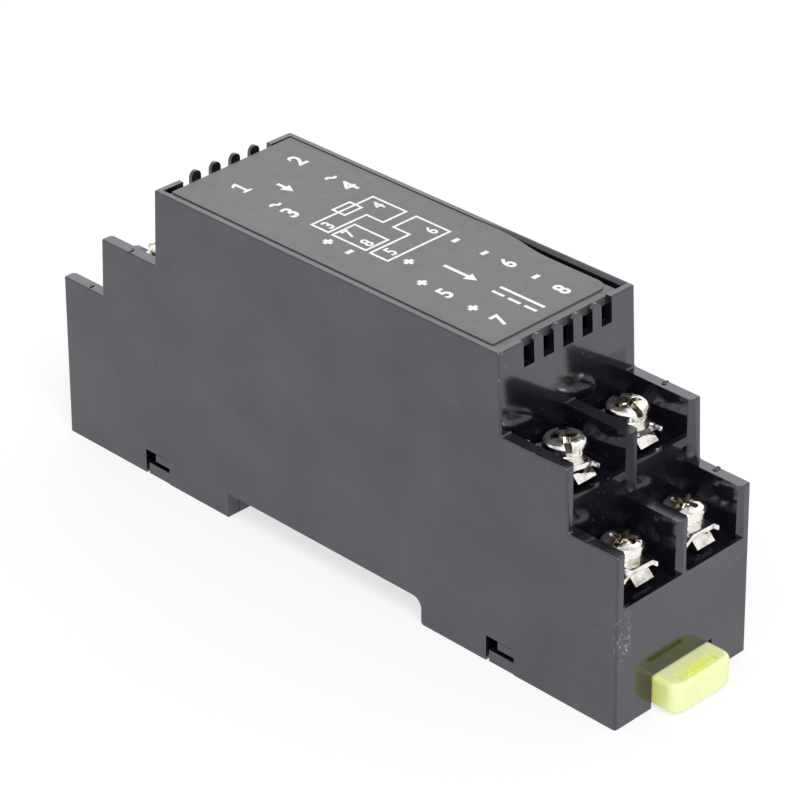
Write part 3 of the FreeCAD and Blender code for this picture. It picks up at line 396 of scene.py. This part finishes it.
tape_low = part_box("transformer_winding")[0]
tape_finish, tree, shader, place = finish_named("yellow_winding_tape")
height = axis_value(tree, place, "Z")
seam = between(tree, height, tape_low.z + seam_start, tape_low.z + seam_end)
tape = ramp(tree, cloud(tree, place, 350.0, detail=3.0), tape_pale, tape_bright)
wrinkles = relief(tree, cloud(tree, place, 420.0), tape_thick)
surface(
    tree, shader,
    colour=layered(tree, seam, tape, seam_colour),
    roughness=spread(tree, cloud(tree, place, 900.0), 0.18, 0.34),
    normal=relief(tree, seam, tape_thick, below=wrinkles),
)
dress(["transformer_winding"], tape_finish)

# Filter capacitors
# Aluminium cans in printed black sleeves that are shrunk over their rims, with a paler stripe on
# the side of the negative lead.

sleeve_low = (0.016, 0.017, 0.022, 1)
sleeve_high = (0.030, 0.031, 0.038, 1)
stripe_grey = (0.42, 0.43, 0.45, 1)
bare_aluminium = (0.72, 0.72, 0.73, 1)
stripe_deep = 0.0004
stripe_past = 0.001
tall_can_top = (0.01955, 0.0200)
short_can_top = (0.01655, 0.01667)


def either(tree, first, second):
    """The larger of two masks."""
    return computed(tree, "MAXIMUM", first, second)


can_low, can_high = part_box("filter_capacitors")
sleeve_finish, tree, shader, place = finish_named("shrunk_black_sleeve")
height = axis_value(tree, place, "Z")
side = axis_value(tree, place, "Y")
stripe = either(
    tree,
    between(tree, side, can_high.y - stripe_deep, can_high.y + stripe_past),
    between(tree, side, can_low.y - stripe_past, can_low.y + stripe_deep),
)
bare_top = either(
    tree,
    between(tree, height, *tall_can_top),
    between(tree, height, *short_can_top),
)
sleeve = ramp(tree, cloud(tree, place, 260.0, detail=3.0), sleeve_low, sleeve_high)
striped = layered(tree, stripe, sleeve, stripe_grey)
surface(
    tree, shader,
    colour=layered(tree, bare_top, striped, bare_aluminium),
    roughness=spread(tree, cloud(tree, place, 800.0, detail=3.0), 0.26, 0.40),
    metallic=bare_top,
)
dress(["filter_capacitors"], sleeve_finish)

# Film capacitors
# Small potted boxes in red-brown plastic, with a fine spark-eroded grain.

box_low = (0.30, 0.045, 0.028, 1)
box_high = (0.42, 0.075, 0.045, 1)

box_finish, tree, shader, place = finish_named("red_box_capacitor")
swirl = cloud(tree, place, 500.0, detail=3.0)
surface(
    tree, shader,
    colour=ramp(tree, swirl, box_low, box_high),
    roughness=spread(tree, swirl, 0.36, 0.52),
    normal=relief(tree, cloud(tree, place, 3000.0, detail=3.0), 0.00002),
)
dress(["film_capacitors"], box_finish)

# Regulator and chips
# Moulded black epoxy with tinned copper legs. The tab of the regulator is bare plated copper.

tinned = (0.62, 0.61, 0.58, 1)
epoxy_low = (0.018, 0.018, 0.019, 1)
epoxy_high = (0.034, 0.034, 0.036, 1)
below_top = board_top - 0.001
regulator_legs = (below_top, board_top + 0.003)
regulator_tab = (board_top + 0.01201, board_top + 0.020)
chip_underside = (below_top, board_top + 0.00069)
chip_side = 0.003202
legs_past = 0.006


def epoxy_part(name, metal_masks):
    """Black epoxy that turns to tinned metal where the masks say."""
    material, tree, shader, place = finish_named(name)
    grain = cloud(tree, place, 2600.0, detail=4.0, roughness=0.6)
    metal = metal_masks(tree, place)
    surface(
        tree, shader,
        colour=layered(tree, metal, ramp(tree, grain, epoxy_low, epoxy_high), tinned),
        roughness=spread(tree, metal, 0.48, 0.28, start=0.0, end=1.0),
        normal=relief(tree, grain, 0.000012),
        metallic=metal,
    )
    return material


def regulator_metal(tree, place):
    """The legs under the body and the tab over it."""
    height = axis_value(tree, place, "Z")
    legs = between(tree, height, *regulator_legs)
    return either(tree, legs, between(tree, height, *regulator_tab))


def chip_legs(middle):
    """The legs at both sides of a chip and everything under its body."""
    def masks(tree, place):
        side = axis_value(tree, place, "Y")
        under = between(tree, axis_value(tree, place, "Z"), *chip_underside)
        near = between(tree, side, middle - legs_past, middle - chip_side)
        far = between(tree, side, middle + chip_side, middle + legs_past)
        return either(tree, under, either(tree, near, far))
    return masks


dress(["regulator"], epoxy_part("epoxy_and_plated_tab", regulator_metal))
for chip in ("isolation_amplifier", "controller_chip", "optocoupler"):
    chip_low, chip_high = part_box(chip)
    dress([chip], epoxy_part("epoxy_" + chip, chip_legs((chip_low.y + chip_high.y) / 2)))

# Trimmers
# Blue thermoset boxes, each with a slotted brass adjuster in its lid.

trimmer_low = (0.012, 0.060, 0.24, 1)
trimmer_high = (0.020, 0.090, 0.33, 1)
brass_colour = (0.72, 0.50, 0.20, 1)
adjuster = (board_top + 0.00951, board_top + 0.0125)

trimmer_finish, tree, shader, place = finish_named("blue_box_and_brass_adjuster")
brass = between(tree, axis_value(tree, place, "Z"), *adjuster)
swirl = cloud(tree, place, 600.0, detail=4.0)
surface(
    tree, shader,
    colour=layered(tree, brass, ramp(tree, swirl, trimmer_low, trimmer_high), brass_colour),
    roughness=spread(tree, swirl, 0.30, 0.44),
    normal=relief(tree, cloud(tree, place, 2200.0), 0.000015),
    metallic=brass,
)
dress(["zero_trimmer", "span_trimmer"], trimmer_finish)

# Resistors, diode and choke
# Lacquered resistors with colour bands, a black diode with a silver cathode band, and a ferrite
# drum wound with enamelled copper wire.

lacquer_low = (0.34, 0.44, 0.50, 1)
lacquer_high = (0.44, 0.55, 0.60, 1)
resistor_half = 0.00302
resistor_bands = [
    (-0.0022, -0.0017, (0.16, 0.055, 0.02, 1)),
    (-0.0012, -0.0007, (0.012, 0.012, 0.012, 1)),
    (-0.0002, 0.0003, (0.55, 0.16, 0.02, 1)),
    (0.0017, 0.0022, (0.52, 0.36, 0.10, 1)),
]
diode_low = (0.015, 0.015, 0.016, 1)
diode_high = (0.030, 0.030, 0.032, 1)
diode_half = 0.00252
diode_bands = [(0.0012, 0.0019, (0.60, 0.60, 0.60, 1))]
wires_past = 0.02
copper_dark = (0.30, 0.085, 0.030, 1)
copper_bright = (0.62, 0.22, 0.085, 1)
drum_flange = 0.00101


def banded(name, body_low, body_high, half, bands):
    """An axial part: lacquered body, colour bands along y, and tinned wires past its ends."""
    material, tree, shader, place = finish_named(name)
    along = axis_value(tree, place, "Y")
    colour = ramp(tree, cloud(tree, place, 900.0, detail=3.0), body_low, body_high)
    for low, high, band in bands:
        colour = layered(tree, between(tree, along, low, high), colour, band)
    wires = either(
        tree,
        between(tree, along, half, wires_past),
        between(tree, along, -wires_past, -half),
    )
    surface(
        tree, shader,
        colour=layered(tree, wires, colour, tinned),
        roughness=spread(tree, cloud(tree, place, 1500.0, detail=3.0), 0.22, 0.36),
        metallic=wires,
    )
    return material


resistor_finish = banded(
    "banded_lacquer", lacquer_low, lacquer_high, resistor_half, resistor_bands)
diode_finish = banded("diode_epoxy", diode_low, diode_high, diode_half, diode_bands)
dress(["resistors"], resistor_finish)
dress(["diodes"], diode_finish)

drum_low, drum_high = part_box("output_choke")
drum_finish, tree, shader, place = finish_named("copper_wound_drum")
height = axis_value(tree, place, "Z")
waist = between(tree, height, drum_low.z + drum_flange, drum_high.z - drum_flange)
turns = tree.nodes.new("ShaderNodeTexWave")
turns.wave_profile = "SIN"
turns.bands_direction = "Z"
turns.inputs["Scale"].default_value = 900.0
tree.links.new(place, turns.inputs["Vector"])
copper = ramp(tree, turns.outputs["Fac"], copper_dark, copper_bright, start=0.1, end=0.9)
grains = cloud(tree, place, 2400.0, detail=5.0, roughness=0.7)
surface(
    tree, shader,
    colour=layered(tree, waist, ramp(tree, grains, ferrite_low, ferrite_high), copper),
    roughness=spread(tree, waist, 0.5, 0.25, start=0.0, end=1.0),
    normal=relief(tree, both(tree, waist, turns.outputs["Fac"]), 0.00008),
)
dress(["output_choke"], drum_finish)

# Housing
# The same glossy black ABS, lightly dusty, with painted shade in the terminal cells: their
# reflections are tinted darker. Handling has left pale nicks on an upright corner of the lower
# terminal tier. Terminal numbers stand proud of the wall tops.

nick_colour = (0.58, 0.58, 0.60, 1)
nick_middle = (0.0549, -0.0118, 0.0096)
nick_half = (0.0017, 0.0019, 0.0046)
nick_line = (0.006, 0.018)
speck_colour = (0.13, 0.13, 0.14, 1)
# Painted shade: a darker reflection tint for the inside of the terminal cells.
cell_shade_tint = (0.30, 0.30, 0.34, 1)
cell_half = (0.0094, 0.0109, 0.0110)
cell_middles = ((0.0429, 0.0, 0.0238), (-0.0414, 0.0, 0.0238))
noise_middle = 0.5


def edge_of(tree, noise):
    """How far a noise is from its middle value, which draws it as wandering lines."""
    return computed(tree, "ABSOLUTE", computed(tree, "SUBTRACT", noise, noise_middle))


housing_finish, tree, shader, place = shell_material("glossy_black_housing")
base_colour = shader.inputs["Base Color"].links[0].from_socket
edges = edge_of(tree, cloud(tree, place, 1400.0, roughness=0.6))
squiggles = spread(tree, edges, 1.0, 0.0, *nick_line)
broken = spread(tree, cloud(tree, place, 900.0, detail=3.0, roughness=0.6), 0.0, 1.0, 0.51, 0.55)
worn_corner = nearby(tree, place, nick_middle, nick_half, start=0.5, end=1.0)
nicks = both(tree, worn_corner, both(tree, squiggles, broken))
specks = both(
    tree,
    spread(tree, cloud(tree, place, 2100.0, detail=1.0), 0.0, 1.0, 0.74, 0.77),
    spread(tree, cloud(tree, place, 130.0), 0.0, 1.0, 0.50, 0.60),
)
dusty = layered(tree, specks, base_colour, speck_colour)
surface(tree, shader, colour=layered(tree, nicks, dusty, nick_colour))
sheen = shader.inputs["Specular Tint"].links[0].from_socket
# Painted shade: inside the terminal cells the reflections are tinted darker.
for middle in cell_middles:
    cell = nearby(tree, place, middle, cell_half, start=0.97, end=1.02)
    sheen = layered(tree, cell, sheen, cell_shade_tint)
tree.links.new(sheen, shader.inputs["Specular Tint"])
dress(["housing"], housing_finish)

mark_height = 0.0012
mark_proud = 0.00012
mark_sunk = 0.00005
tier_tops = (0.03105, 0.02185)
marks = [
    ("5", (0.03935, -0.01215), 0),
    ("6", (0.03935, 0.01215), 0),
    ("7", (0.04855, -0.01220), 1),
    ("8", (0.04855, 0.01220), 1),
    ("3", (-0.03785, -0.01215), 0),
    ("4", (-0.03785, 0.01215), 0),
    ("1", (-0.04705, -0.01220), 1),
    ("2", (-0.04705, 0.01220), 1),
]
figure_one = [
    (0.44, 0.0), (0.44, 0.09), (0.31, 0.09), (0.31, 0.68), (0.21, 0.68), (0.03, 0.57),
    (0.03, 0.46), (0.19, 0.54), (0.19, 0.09), (0.05, 0.09), (0.05, 0.0),
]


def prism(form, outline, low, high):
    """A closed shape that stands on an outline between two heights."""
    lower = [form.verts.new((x, y, low)) for x, y in outline]
    upper = [form.verts.new((x, y, high)) for x, y in outline]
    form.faces.new(list(reversed(lower)))
    form.faces.new(upper)
    for number in range(len(outline)):
        after = (number + 1) % len(outline)
        form.faces.new((lower[number], lower[after], upper[after], upper[number]))


def numeral_mesh(text, weight):
    """A numeral one em high and one thick. The figure one is drawn with a flag."""
    if text == "1":
        shape = bmesh.new()
        prism(shape, figure_one, -0.5, 0.5)
        mesh = bpy.data.meshes.new("numeral")
        shape.to_mesh(mesh)
        shape.free()
        return mesh
    letters = bpy.data.curves.new("numeral", "FONT")
    letters.body = text
    letters.size = 1.0
    letters.extrude = 0.5
    letters.offset = weight
    letters.resolution_u = 4
    shown = bpy.data.objects.new("numeral", letters)
    scene.collection.objects.link(shown)
    bpy.context.view_layer.update()
    evaluated = shown.evaluated_get(bpy.context.evaluated_depsgraph_get())
    mesh = bpy.data.meshes.new_from_object(evaluated)
    bpy.data.objects.remove(shown)
    bpy.data.curves.remove(letters)
    return mesh


def figure(form, text, height, middle, turn, low, high, weight=0.0, narrowing=1.0):
    """A plain numeral as a thin raised shape, centred on a point and turned about it."""
    mesh = numeral_mesh(text, weight)
    corners = [vertex.co for vertex in mesh.vertices]
    low_x, high_x = min(c.x for c in corners), max(c.x for c in corners)
    low_y, high_y = min(c.y for c in corners), max(c.y for c in corners)
    size = height / (high_y - low_y)
    centre = Matrix.Translation((-(low_x + high_x) / 2, -(low_y + high_y) / 2, 0))
    scale = Matrix.Diagonal((size * narrowing, size, high - low, 1))
    lift = Matrix.Translation((middle[0], middle[1], (low + high) / 2))
    mesh.transform(lift @ Matrix.Rotation(turn, 4, "Z") @ scale @ centre)
    form.from_mesh(mesh)
    bpy.data.meshes.remove(mesh)


form = bmesh.new()
for text, middle, tier in marks:
    top = tier_tops[tier]
    figure(form, text, mark_height, middle, 0.0, top - mark_sunk, top + mark_proud)
bmesh.ops.remove_doubles(form, verts=form.verts, dist=1e-7)
marks_piece = piece_from(form, "moulded_numerals", shell_finish, "module")

# Terminal clamps, plates and screws
# Brass strip and steel screws, all bright nickel plated. The middle of each screw head, with its
# cross recess and driver slot, is coloured a mottled darker brown.

plate_low = (0.50, 0.45, 0.40, 1)
plate_high = (0.90, 0.88, 0.84, 1)
head_brown_low = (0.17, 0.14, 0.10, 1)
head_brown_high = (0.68, 0.64, 0.55, 1)
head_brown_reach = 0.0018
head_brown_fade = 0.0002
head_brown_deep = 0.0025
head_past = 0.0001
grain_stretch = (1.0, 1.0, 2.0)
dent_depth = 0.00012
rolled_depth = 0.00001
screw_count = 8


def vector_step(tree, operation, value, by):
    """The outputs of a vector worked out with a fixed one."""
    step = tree.nodes.new("ShaderNodeVectorMath")
    step.operation = operation
    step.inputs[1].default_value = by
    tree.links.new(value, step.inputs[0])
    return step.outputs


def nickel(name):
    """Bright nickel plate with rolling lines and dull patches. Its parts, with its colour."""
    material, tree, shader, place = finish_named(name)
    drawn = vector_step(tree, "MULTIPLY", place, grain_stretch)["Vector"]
    rolled = cloud(tree, drawn, 480.0, detail=3.0, roughness=0.55)
    dents = relief(tree, cloud(tree, place, 650.0, detail=1.0), dent_depth)
    surface(
        tree, shader,
        roughness=spread(tree, cloud(tree, place, 900.0, detail=4.0), 0.07, 0.17),
        normal=relief(tree, rolled, rolled_depth, below=dents),
    )
    shader.inputs["Metallic"].default_value = 1.0
    colour = ramp(tree, rolled, plate_low, plate_high, start=0.34, end=0.54)
    return material, tree, shader, place, colour


metal_finish, tree, shader, place, colour = nickel("bright_nickel_plate")
surface(tree, shader, colour=colour)
dress([name for name in nodes if name.startswith(("terminal_plate_", "wire_clamp_"))], metal_finish)

for number in range(1, screw_count + 1):
    screw = f"terminal_screw_{number}"
    screw_low, screw_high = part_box(screw)
    middle = (screw_low + screw_high) / 2
    screw_finish, tree, shader, place, colour = nickel(f"nickel_screw_{number}")
    flat = vector_step(tree, "MULTIPLY", place, (1, 1, 0))["Vector"]
    off_axis = vector_step(tree, "DISTANCE", flat, (middle.x, middle.y, 0))["Value"]
    # The middle of each head, down into its cross recess and driver slot, is coloured a mottled
    # darker brown.
    core = spread(tree, off_axis, 1.0, 0.0, head_brown_reach - head_brown_fade, head_brown_reach + head_brown_fade)
    height = axis_value(tree, place, "Z")
    top = between(tree, height, screw_high.z - head_brown_deep, screw_high.z + head_past)
    brown_mottle = cloud(tree, place, 1500.0, detail=3.0, roughness=0.6)
    head_brown = ramp(tree, brown_mottle, head_brown_low, head_brown_high, start=0.38, end=0.60)
    surface(tree, shader, colour=layered(tree, both(tree, core, top), colour, head_brown))
    dress([screw], screw_finish)

# Lid
# Moulded in the same black, but against a satin tool, and pressed into the rim of the housing.

lid_low = (0.058, 0.058, 0.062, 1)
lid_high = (0.078, 0.078, 0.083, 1)

lid_finish, tree, shader, place = finish_named("satin_black_lid")
bloom = cloud(tree, place, 90.0, detail=6.0, roughness=0.65)
surface(
    tree, shader,
    colour=ramp(tree, bloom, lid_low, lid_high),
    roughness=spread(tree, cloud(tree, place, 500.0, detail=4.0), 0.26, 0.36),
    normal=relief(tree, cloud(tree, place, 2600.0, detail=3.0), 0.000004),
)
dress(["top_cover"], lid_finish)

# Label film
# A satin grey polycarbonate film glued to the lid, screen printed in white with the terminal
# numbers, their polarity signs and a block diagram of the two isolated halves.

film_grey = (0.111, 0.111, 0.115, 1)
film_dark = (0.098, 0.092, 0.090, 1)
ink_dull = (0.70, 0.70, 0.70, 1)
ink_white = (0.88, 0.88, 0.88, 1)

film_finish, tree, shader, place = finish_named("satin_grey_film")
patches = cloud(tree, place, 45.0, detail=6.0, roughness=0.75)
surface(
    tree, shader,
    colour=ramp(tree, patches, film_dark, film_grey, start=0.35, end=0.65),
    roughness=spread(tree, cloud(tree, place, 700.0, detail=4.0), 0.36, 0.46),
    normal=relief(tree, cloud(tree, place, 3800.0), 0.000004),
)
dress(["label_film"], film_finish)

ink_finish, tree, shader, place = finish_named("white_screen_ink")
worn = cloud(tree, place, 1400.0, detail=4.0, roughness=0.7)
surface(
    tree, shader,
    colour=ramp(tree, worn, ink_dull, ink_white, start=0.35, end=0.6),
    roughness=spread(tree, cloud(tree, place, 900.0, detail=3.0), 0.40, 0.55),
)

film_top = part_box("label_film")[1].z
ink_low = film_top - 0.000004
ink_high = film_top + 0.000012
centre_shift = 0.75
quarter = math.pi / 2

left_numbers = [("1", -24.6, -3.8), ("2", -25.2, 7.4), ("3", -14.4, -4.2), ("4", -14.5, 6.9)]
right_numbers = [("5", 16.3, -5.9), ("6", 16.4, 5.8), ("7", 26.2, -6.0), ("8", 26.3, 5.4)]
small_numbers = [
    ("4", -7.5, 5.6), ("3", -8.1, -3.2), ("7", -4.35, -2.9),
    ("8", -0.8, -3.1), ("5", 3.2, -2.7), ("6", 2.8, 5.4),
]
number_sizes = [
    (left_numbers, 3.05, 0.90, 0.028),
    (right_numbers, 2.75, 0.86, 0.028),
    (small_numbers, 2.2, 0.84, 0.022),
]
plus_signs = [(6.9, -3.0), (-4.7, -6.5), (12.2, -5.9), (21.6, -6.2)]
plus_reach = 0.75
plus_thick = 0.6
minus_signs = [(7.1, 5.6), (12.3, 5.7), (21.6, 5.6), (-0.6, -6.5)]
minus_reach = 0.62
minus_thick = 0.72
tilde_signs = [(-18.0, 6.9), (-17.5, -4.0)]
tilde_swing = 0.32
tilde_reach = 0.8
tilde_steps = 10
tilde_thick = 0.5
diagram_thick = 0.38
diagram_lines = [
    [
        (-9.8, 3.79), (-9.8, 6.95), (-3.45, 6.95), (-3.45, 2.55),
        (-6.6, 2.55), (-6.6, -4.6), (-9.8, -4.6), (-9.8, 0.21),
    ],
    [(-10.9, 3.6), (-8.6, 3.6), (-8.6, 0.4), (-10.9, 0.4), (-10.9, 3.6)],
    [(-9.8, 3.41), (-9.8, 0.59)],
    [(-5.7, -0.55), (0.6, -0.55), (0.6, -4.7), (-5.7, -4.7), (-5.7, -0.55)],
    [
        (-1.5, 6.9), (4.8, 6.9), (4.8, -4.8), (1.55, -4.8),
        (1.55, 2.55), (-1.5, 2.55), (-1.5, 6.9),
    ],
]
side_arrows = [((-21.9, 0.5), (-18.7, 0.5)), ((10.9, -0.5), (16.9, -0.5))]
arrow_thick = 0.55
arrow_head = 1.7
head_spread = 0.55
supply_dashes = [
    [(20.2, 0.35), (28.0, 0.35)],
    [(20.2, -1.15), (22.3, -1.15)],
    [(23.05, -1.15), (25.15, -1.15)],
    [(25.9, -1.15), (28.0, -1.15)],
]
dash_thick = 0.5


def on_film(x, y):
    """The place in metres of a point in millimetres from the middle of the housing."""
    return (x + centre_shift) / 1000, y / 1000


def inked(form, outline):
    """A thin closed shape of ink over an outline."""
    prism(form, [on_film(x, y) for x, y in outline], ink_low, ink_high)


def stroke(form, points, thick):
    """A printed line through points, its corners square, that may close on itself."""
    half = thick / 2
    line = [Vector(point) for point in points]
    closed = (line[0] - line[-1]).length < 1e-6
    if closed:
        line.pop()
    count = len(line)
    rails = []
    for number, point in enumerate(line):
        before = line[number - 1] if number or closed else None
        after = line[(number + 1) % count] if number + 1 < count or closed else None
        if before is None:
            arrive = (after - point).normalized()
        else:
            arrive = (point - before).normalized()
        leave = (after - point).normalized() if after is not None else arrive
        across = Vector((-arrive.y, arrive.x))
        mitre = (across + Vector((-leave.y, leave.x))).normalized()
        reach = half / mitre.dot(across)
        corners = []
        for side, z in ((1, ink_low), (-1, ink_low), (-1, ink_high), (1, ink_high)):
            x, y = point + mitre * reach * side
            corners.append(form.verts.new((*on_film(x, y), z)))
        rails.append(corners)
    for number in range(count if closed else count - 1):
        first, second = rails[number], rails[(number + 1) % count]
        for side in range(4):
            after = (side + 1) % 4
            form.faces.new((first[side], first[after], second[after], second[side]))
    if not closed:
        form.faces.new(rails[0])
        form.faces.new(rails[-1])


def plus(form, x, y, reach, thick):
    """A printed plus sign in one outline."""
    half = thick / 2
    arm = [(reach, -half), (reach, half), (half, half)]
    outline = []
    for number in range(4):
        turn = Matrix.Rotation(number * quarter, 2)
        outline += [turn @ Vector(corner) for corner in arm]
    inked(form, [(x + corner.x, y + corner.y) for corner in outline])


def arrow(form, tail, tip, thick, head):
    """A printed arrow with a filled head."""
    tail = Vector(tail)
    tip = Vector(tip)
    along = (tip - tail).normalized()
    across = Vector((-along.y, along.x))
    neck = tip - along * head
    stroke(form, [tail, neck], thick)
    inked(form, [tip, neck + across * head * head_spread, neck - across * head * head_spread])


form = bmesh.new()
for numbers, height, narrowing, weight in number_sizes:
    for text, x, y in numbers:
        middle = on_film(x, y)
        figure(form, text, height / 1000, middle, quarter, ink_low, ink_high, weight, narrowing)
for x, y in plus_signs:
    plus(form, x, y, plus_reach, plus_thick)
for x, y in minus_signs:
    stroke(form, [(x, y - minus_reach), (x, y + minus_reach)], minus_thick)
for x, y in tilde_signs:
    wave = []
    for step in range(tilde_steps + 1):
        swing = tilde_swing * math.sin(step * 2 * math.pi / tilde_steps)
        wave.append((x - swing, y - tilde_reach + 2 * tilde_reach * step / tilde_steps))
    stroke(form, wave, tilde_thick)
piece_from(form, "printed_numerals_and_signs", ink_finish, "module")

form = bmesh.new()
for line in diagram_lines:
    stroke(form, line, diagram_thick)
for tail, tip in side_arrows:
    arrow(form, tail, tip, arrow_thick, arrow_head)
for dash in supply_dashes:
    stroke(form, dash, dash_thick)
piece_from(form, "printed_diagram", ink_finish, "module")

# Floor and light
# A pale floor that runs on as the background and is clear from below, a large soft panel behind
# that the gloss picks up, a small key from the right front and an even white surround.

floor_gap = 0.00005
floor_half = 3.0
floor_white = (0.97, 0.97, 0.97, 1)
floor_shine = 0.7
surround_fill = 0.72
surround_seen = 1.0
lamp_aim = (0, 0, 0.02)
floor_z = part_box("housing")[0].z - floor_gap


def seen_directly(tree):
    """1 for rays from the camera, from a gloss and through glass, 0 for the rest."""
    ray = tree.nodes.new("ShaderNodeLightPath").outputs
    straight = either(tree, ray["Is Camera Ray"], ray["Is Glossy Ray"])
    return either(tree, straight, ray["Is Transmission Ray"])


def mixed(tree, share, under, over):
    """Shader over laid on shader under by a share from 0 to 1."""
    mix = tree.nodes.new("ShaderNodeMixShader")
    for number, socket in enumerate((share, under, over)):
        tree.links.new(socket, mix.inputs[number])
    return mix.outputs["Shader"]


def soft_lamp(name, at, size, power):
    """A square lamp that faces the module."""
    light = bpy.data.lights.new(name, "AREA")
    light.size = size
    light.energy = power
    lamp = bpy.data.objects.new(name, light)
    lamp.location = at
    lamp.rotation_euler = (Vector(lamp_aim) - Vector(at)).to_track_quat("-Z", "Y").to_euler()
    scene.collection.objects.link(lamp)


floor_mesh = bpy.data.meshes.new("floor")
form = bmesh.new()
bmesh.ops.create_grid(form, x_segments=1, y_segments=1, size=floor_half)
form.to_mesh(floor_mesh)
form.free()
floor = bpy.data.objects.new("floor", floor_mesh)
floor.location.z = floor_z
scene.collection.objects.link(floor)

floor_finish, tree, shader, place = finish_named("pale_floor")
shader.inputs["Base Color"].default_value = floor_white
shader.inputs["Roughness"].default_value = 0.9
shader.inputs["Specular IOR Level"].default_value = 0.2
shine = tree.nodes.new("ShaderNodeEmission").outputs["Emission"]
share = spread(tree, seen_directly(tree), 0.0, floor_shine, start=0.0, end=1.0)
lit = mixed(tree, share, shader.outputs["BSDF"], shine)
from_below = tree.nodes.new("ShaderNodeNewGeometry").outputs["Backfacing"]
clear = tree.nodes.new("ShaderNodeBsdfTransparent").outputs["BSDF"]
one_way = mixed(tree, from_below, lit, clear)
tree.links.new(one_way, tree.nodes["Material Output"].inputs["Surface"])
floor.data.materials.append(floor_finish)

world = bpy.data.worlds.new("white_surround")
world.use_nodes = True
scene.world = world
tree = world.node_tree
surround = tree.nodes["Background"]
surround.inputs["Color"].default_value = (1, 1, 1, 1)
strength = spread(tree, seen_directly(tree), surround_fill, surround_seen, start=0.0, end=1.0)
tree.links.new(strength, surround.inputs["Strength"])

soft_lamp("back_panel", at=(-0.75, 0.75, 0.64), size=0.9, power=1.8)
soft_lamp("key_lamp", at=(0.45, -0.30, 0.72), size=0.35, power=3.9)

# Camera
# A long lens from above the right front, which keeps the upright edges nearly parallel. Its place,
# angles and length were fitted to corners of the housing.

camera_place = (0.27968, -0.27609, 0.24745)
camera_angles = (59.651, 0.267, 44.917)
sensor_width = 36.0
lens_length = 150.0

camera_data = bpy.data.cameras.new("camera")
camera_data.sensor_width = sensor_width
camera_data.lens = lens_length
camera_data.clip_start = 0.01
camera_data.clip_end = 20.0
camera = bpy.data.objects.new("camera", camera_data)
camera.location = camera_place
camera.rotation_euler = [math.radians(angle) for angle in camera_angles]
scene.collection.objects.link(camera)
scene.camera = camera
scene.view_settings.view_transform = "Standard"
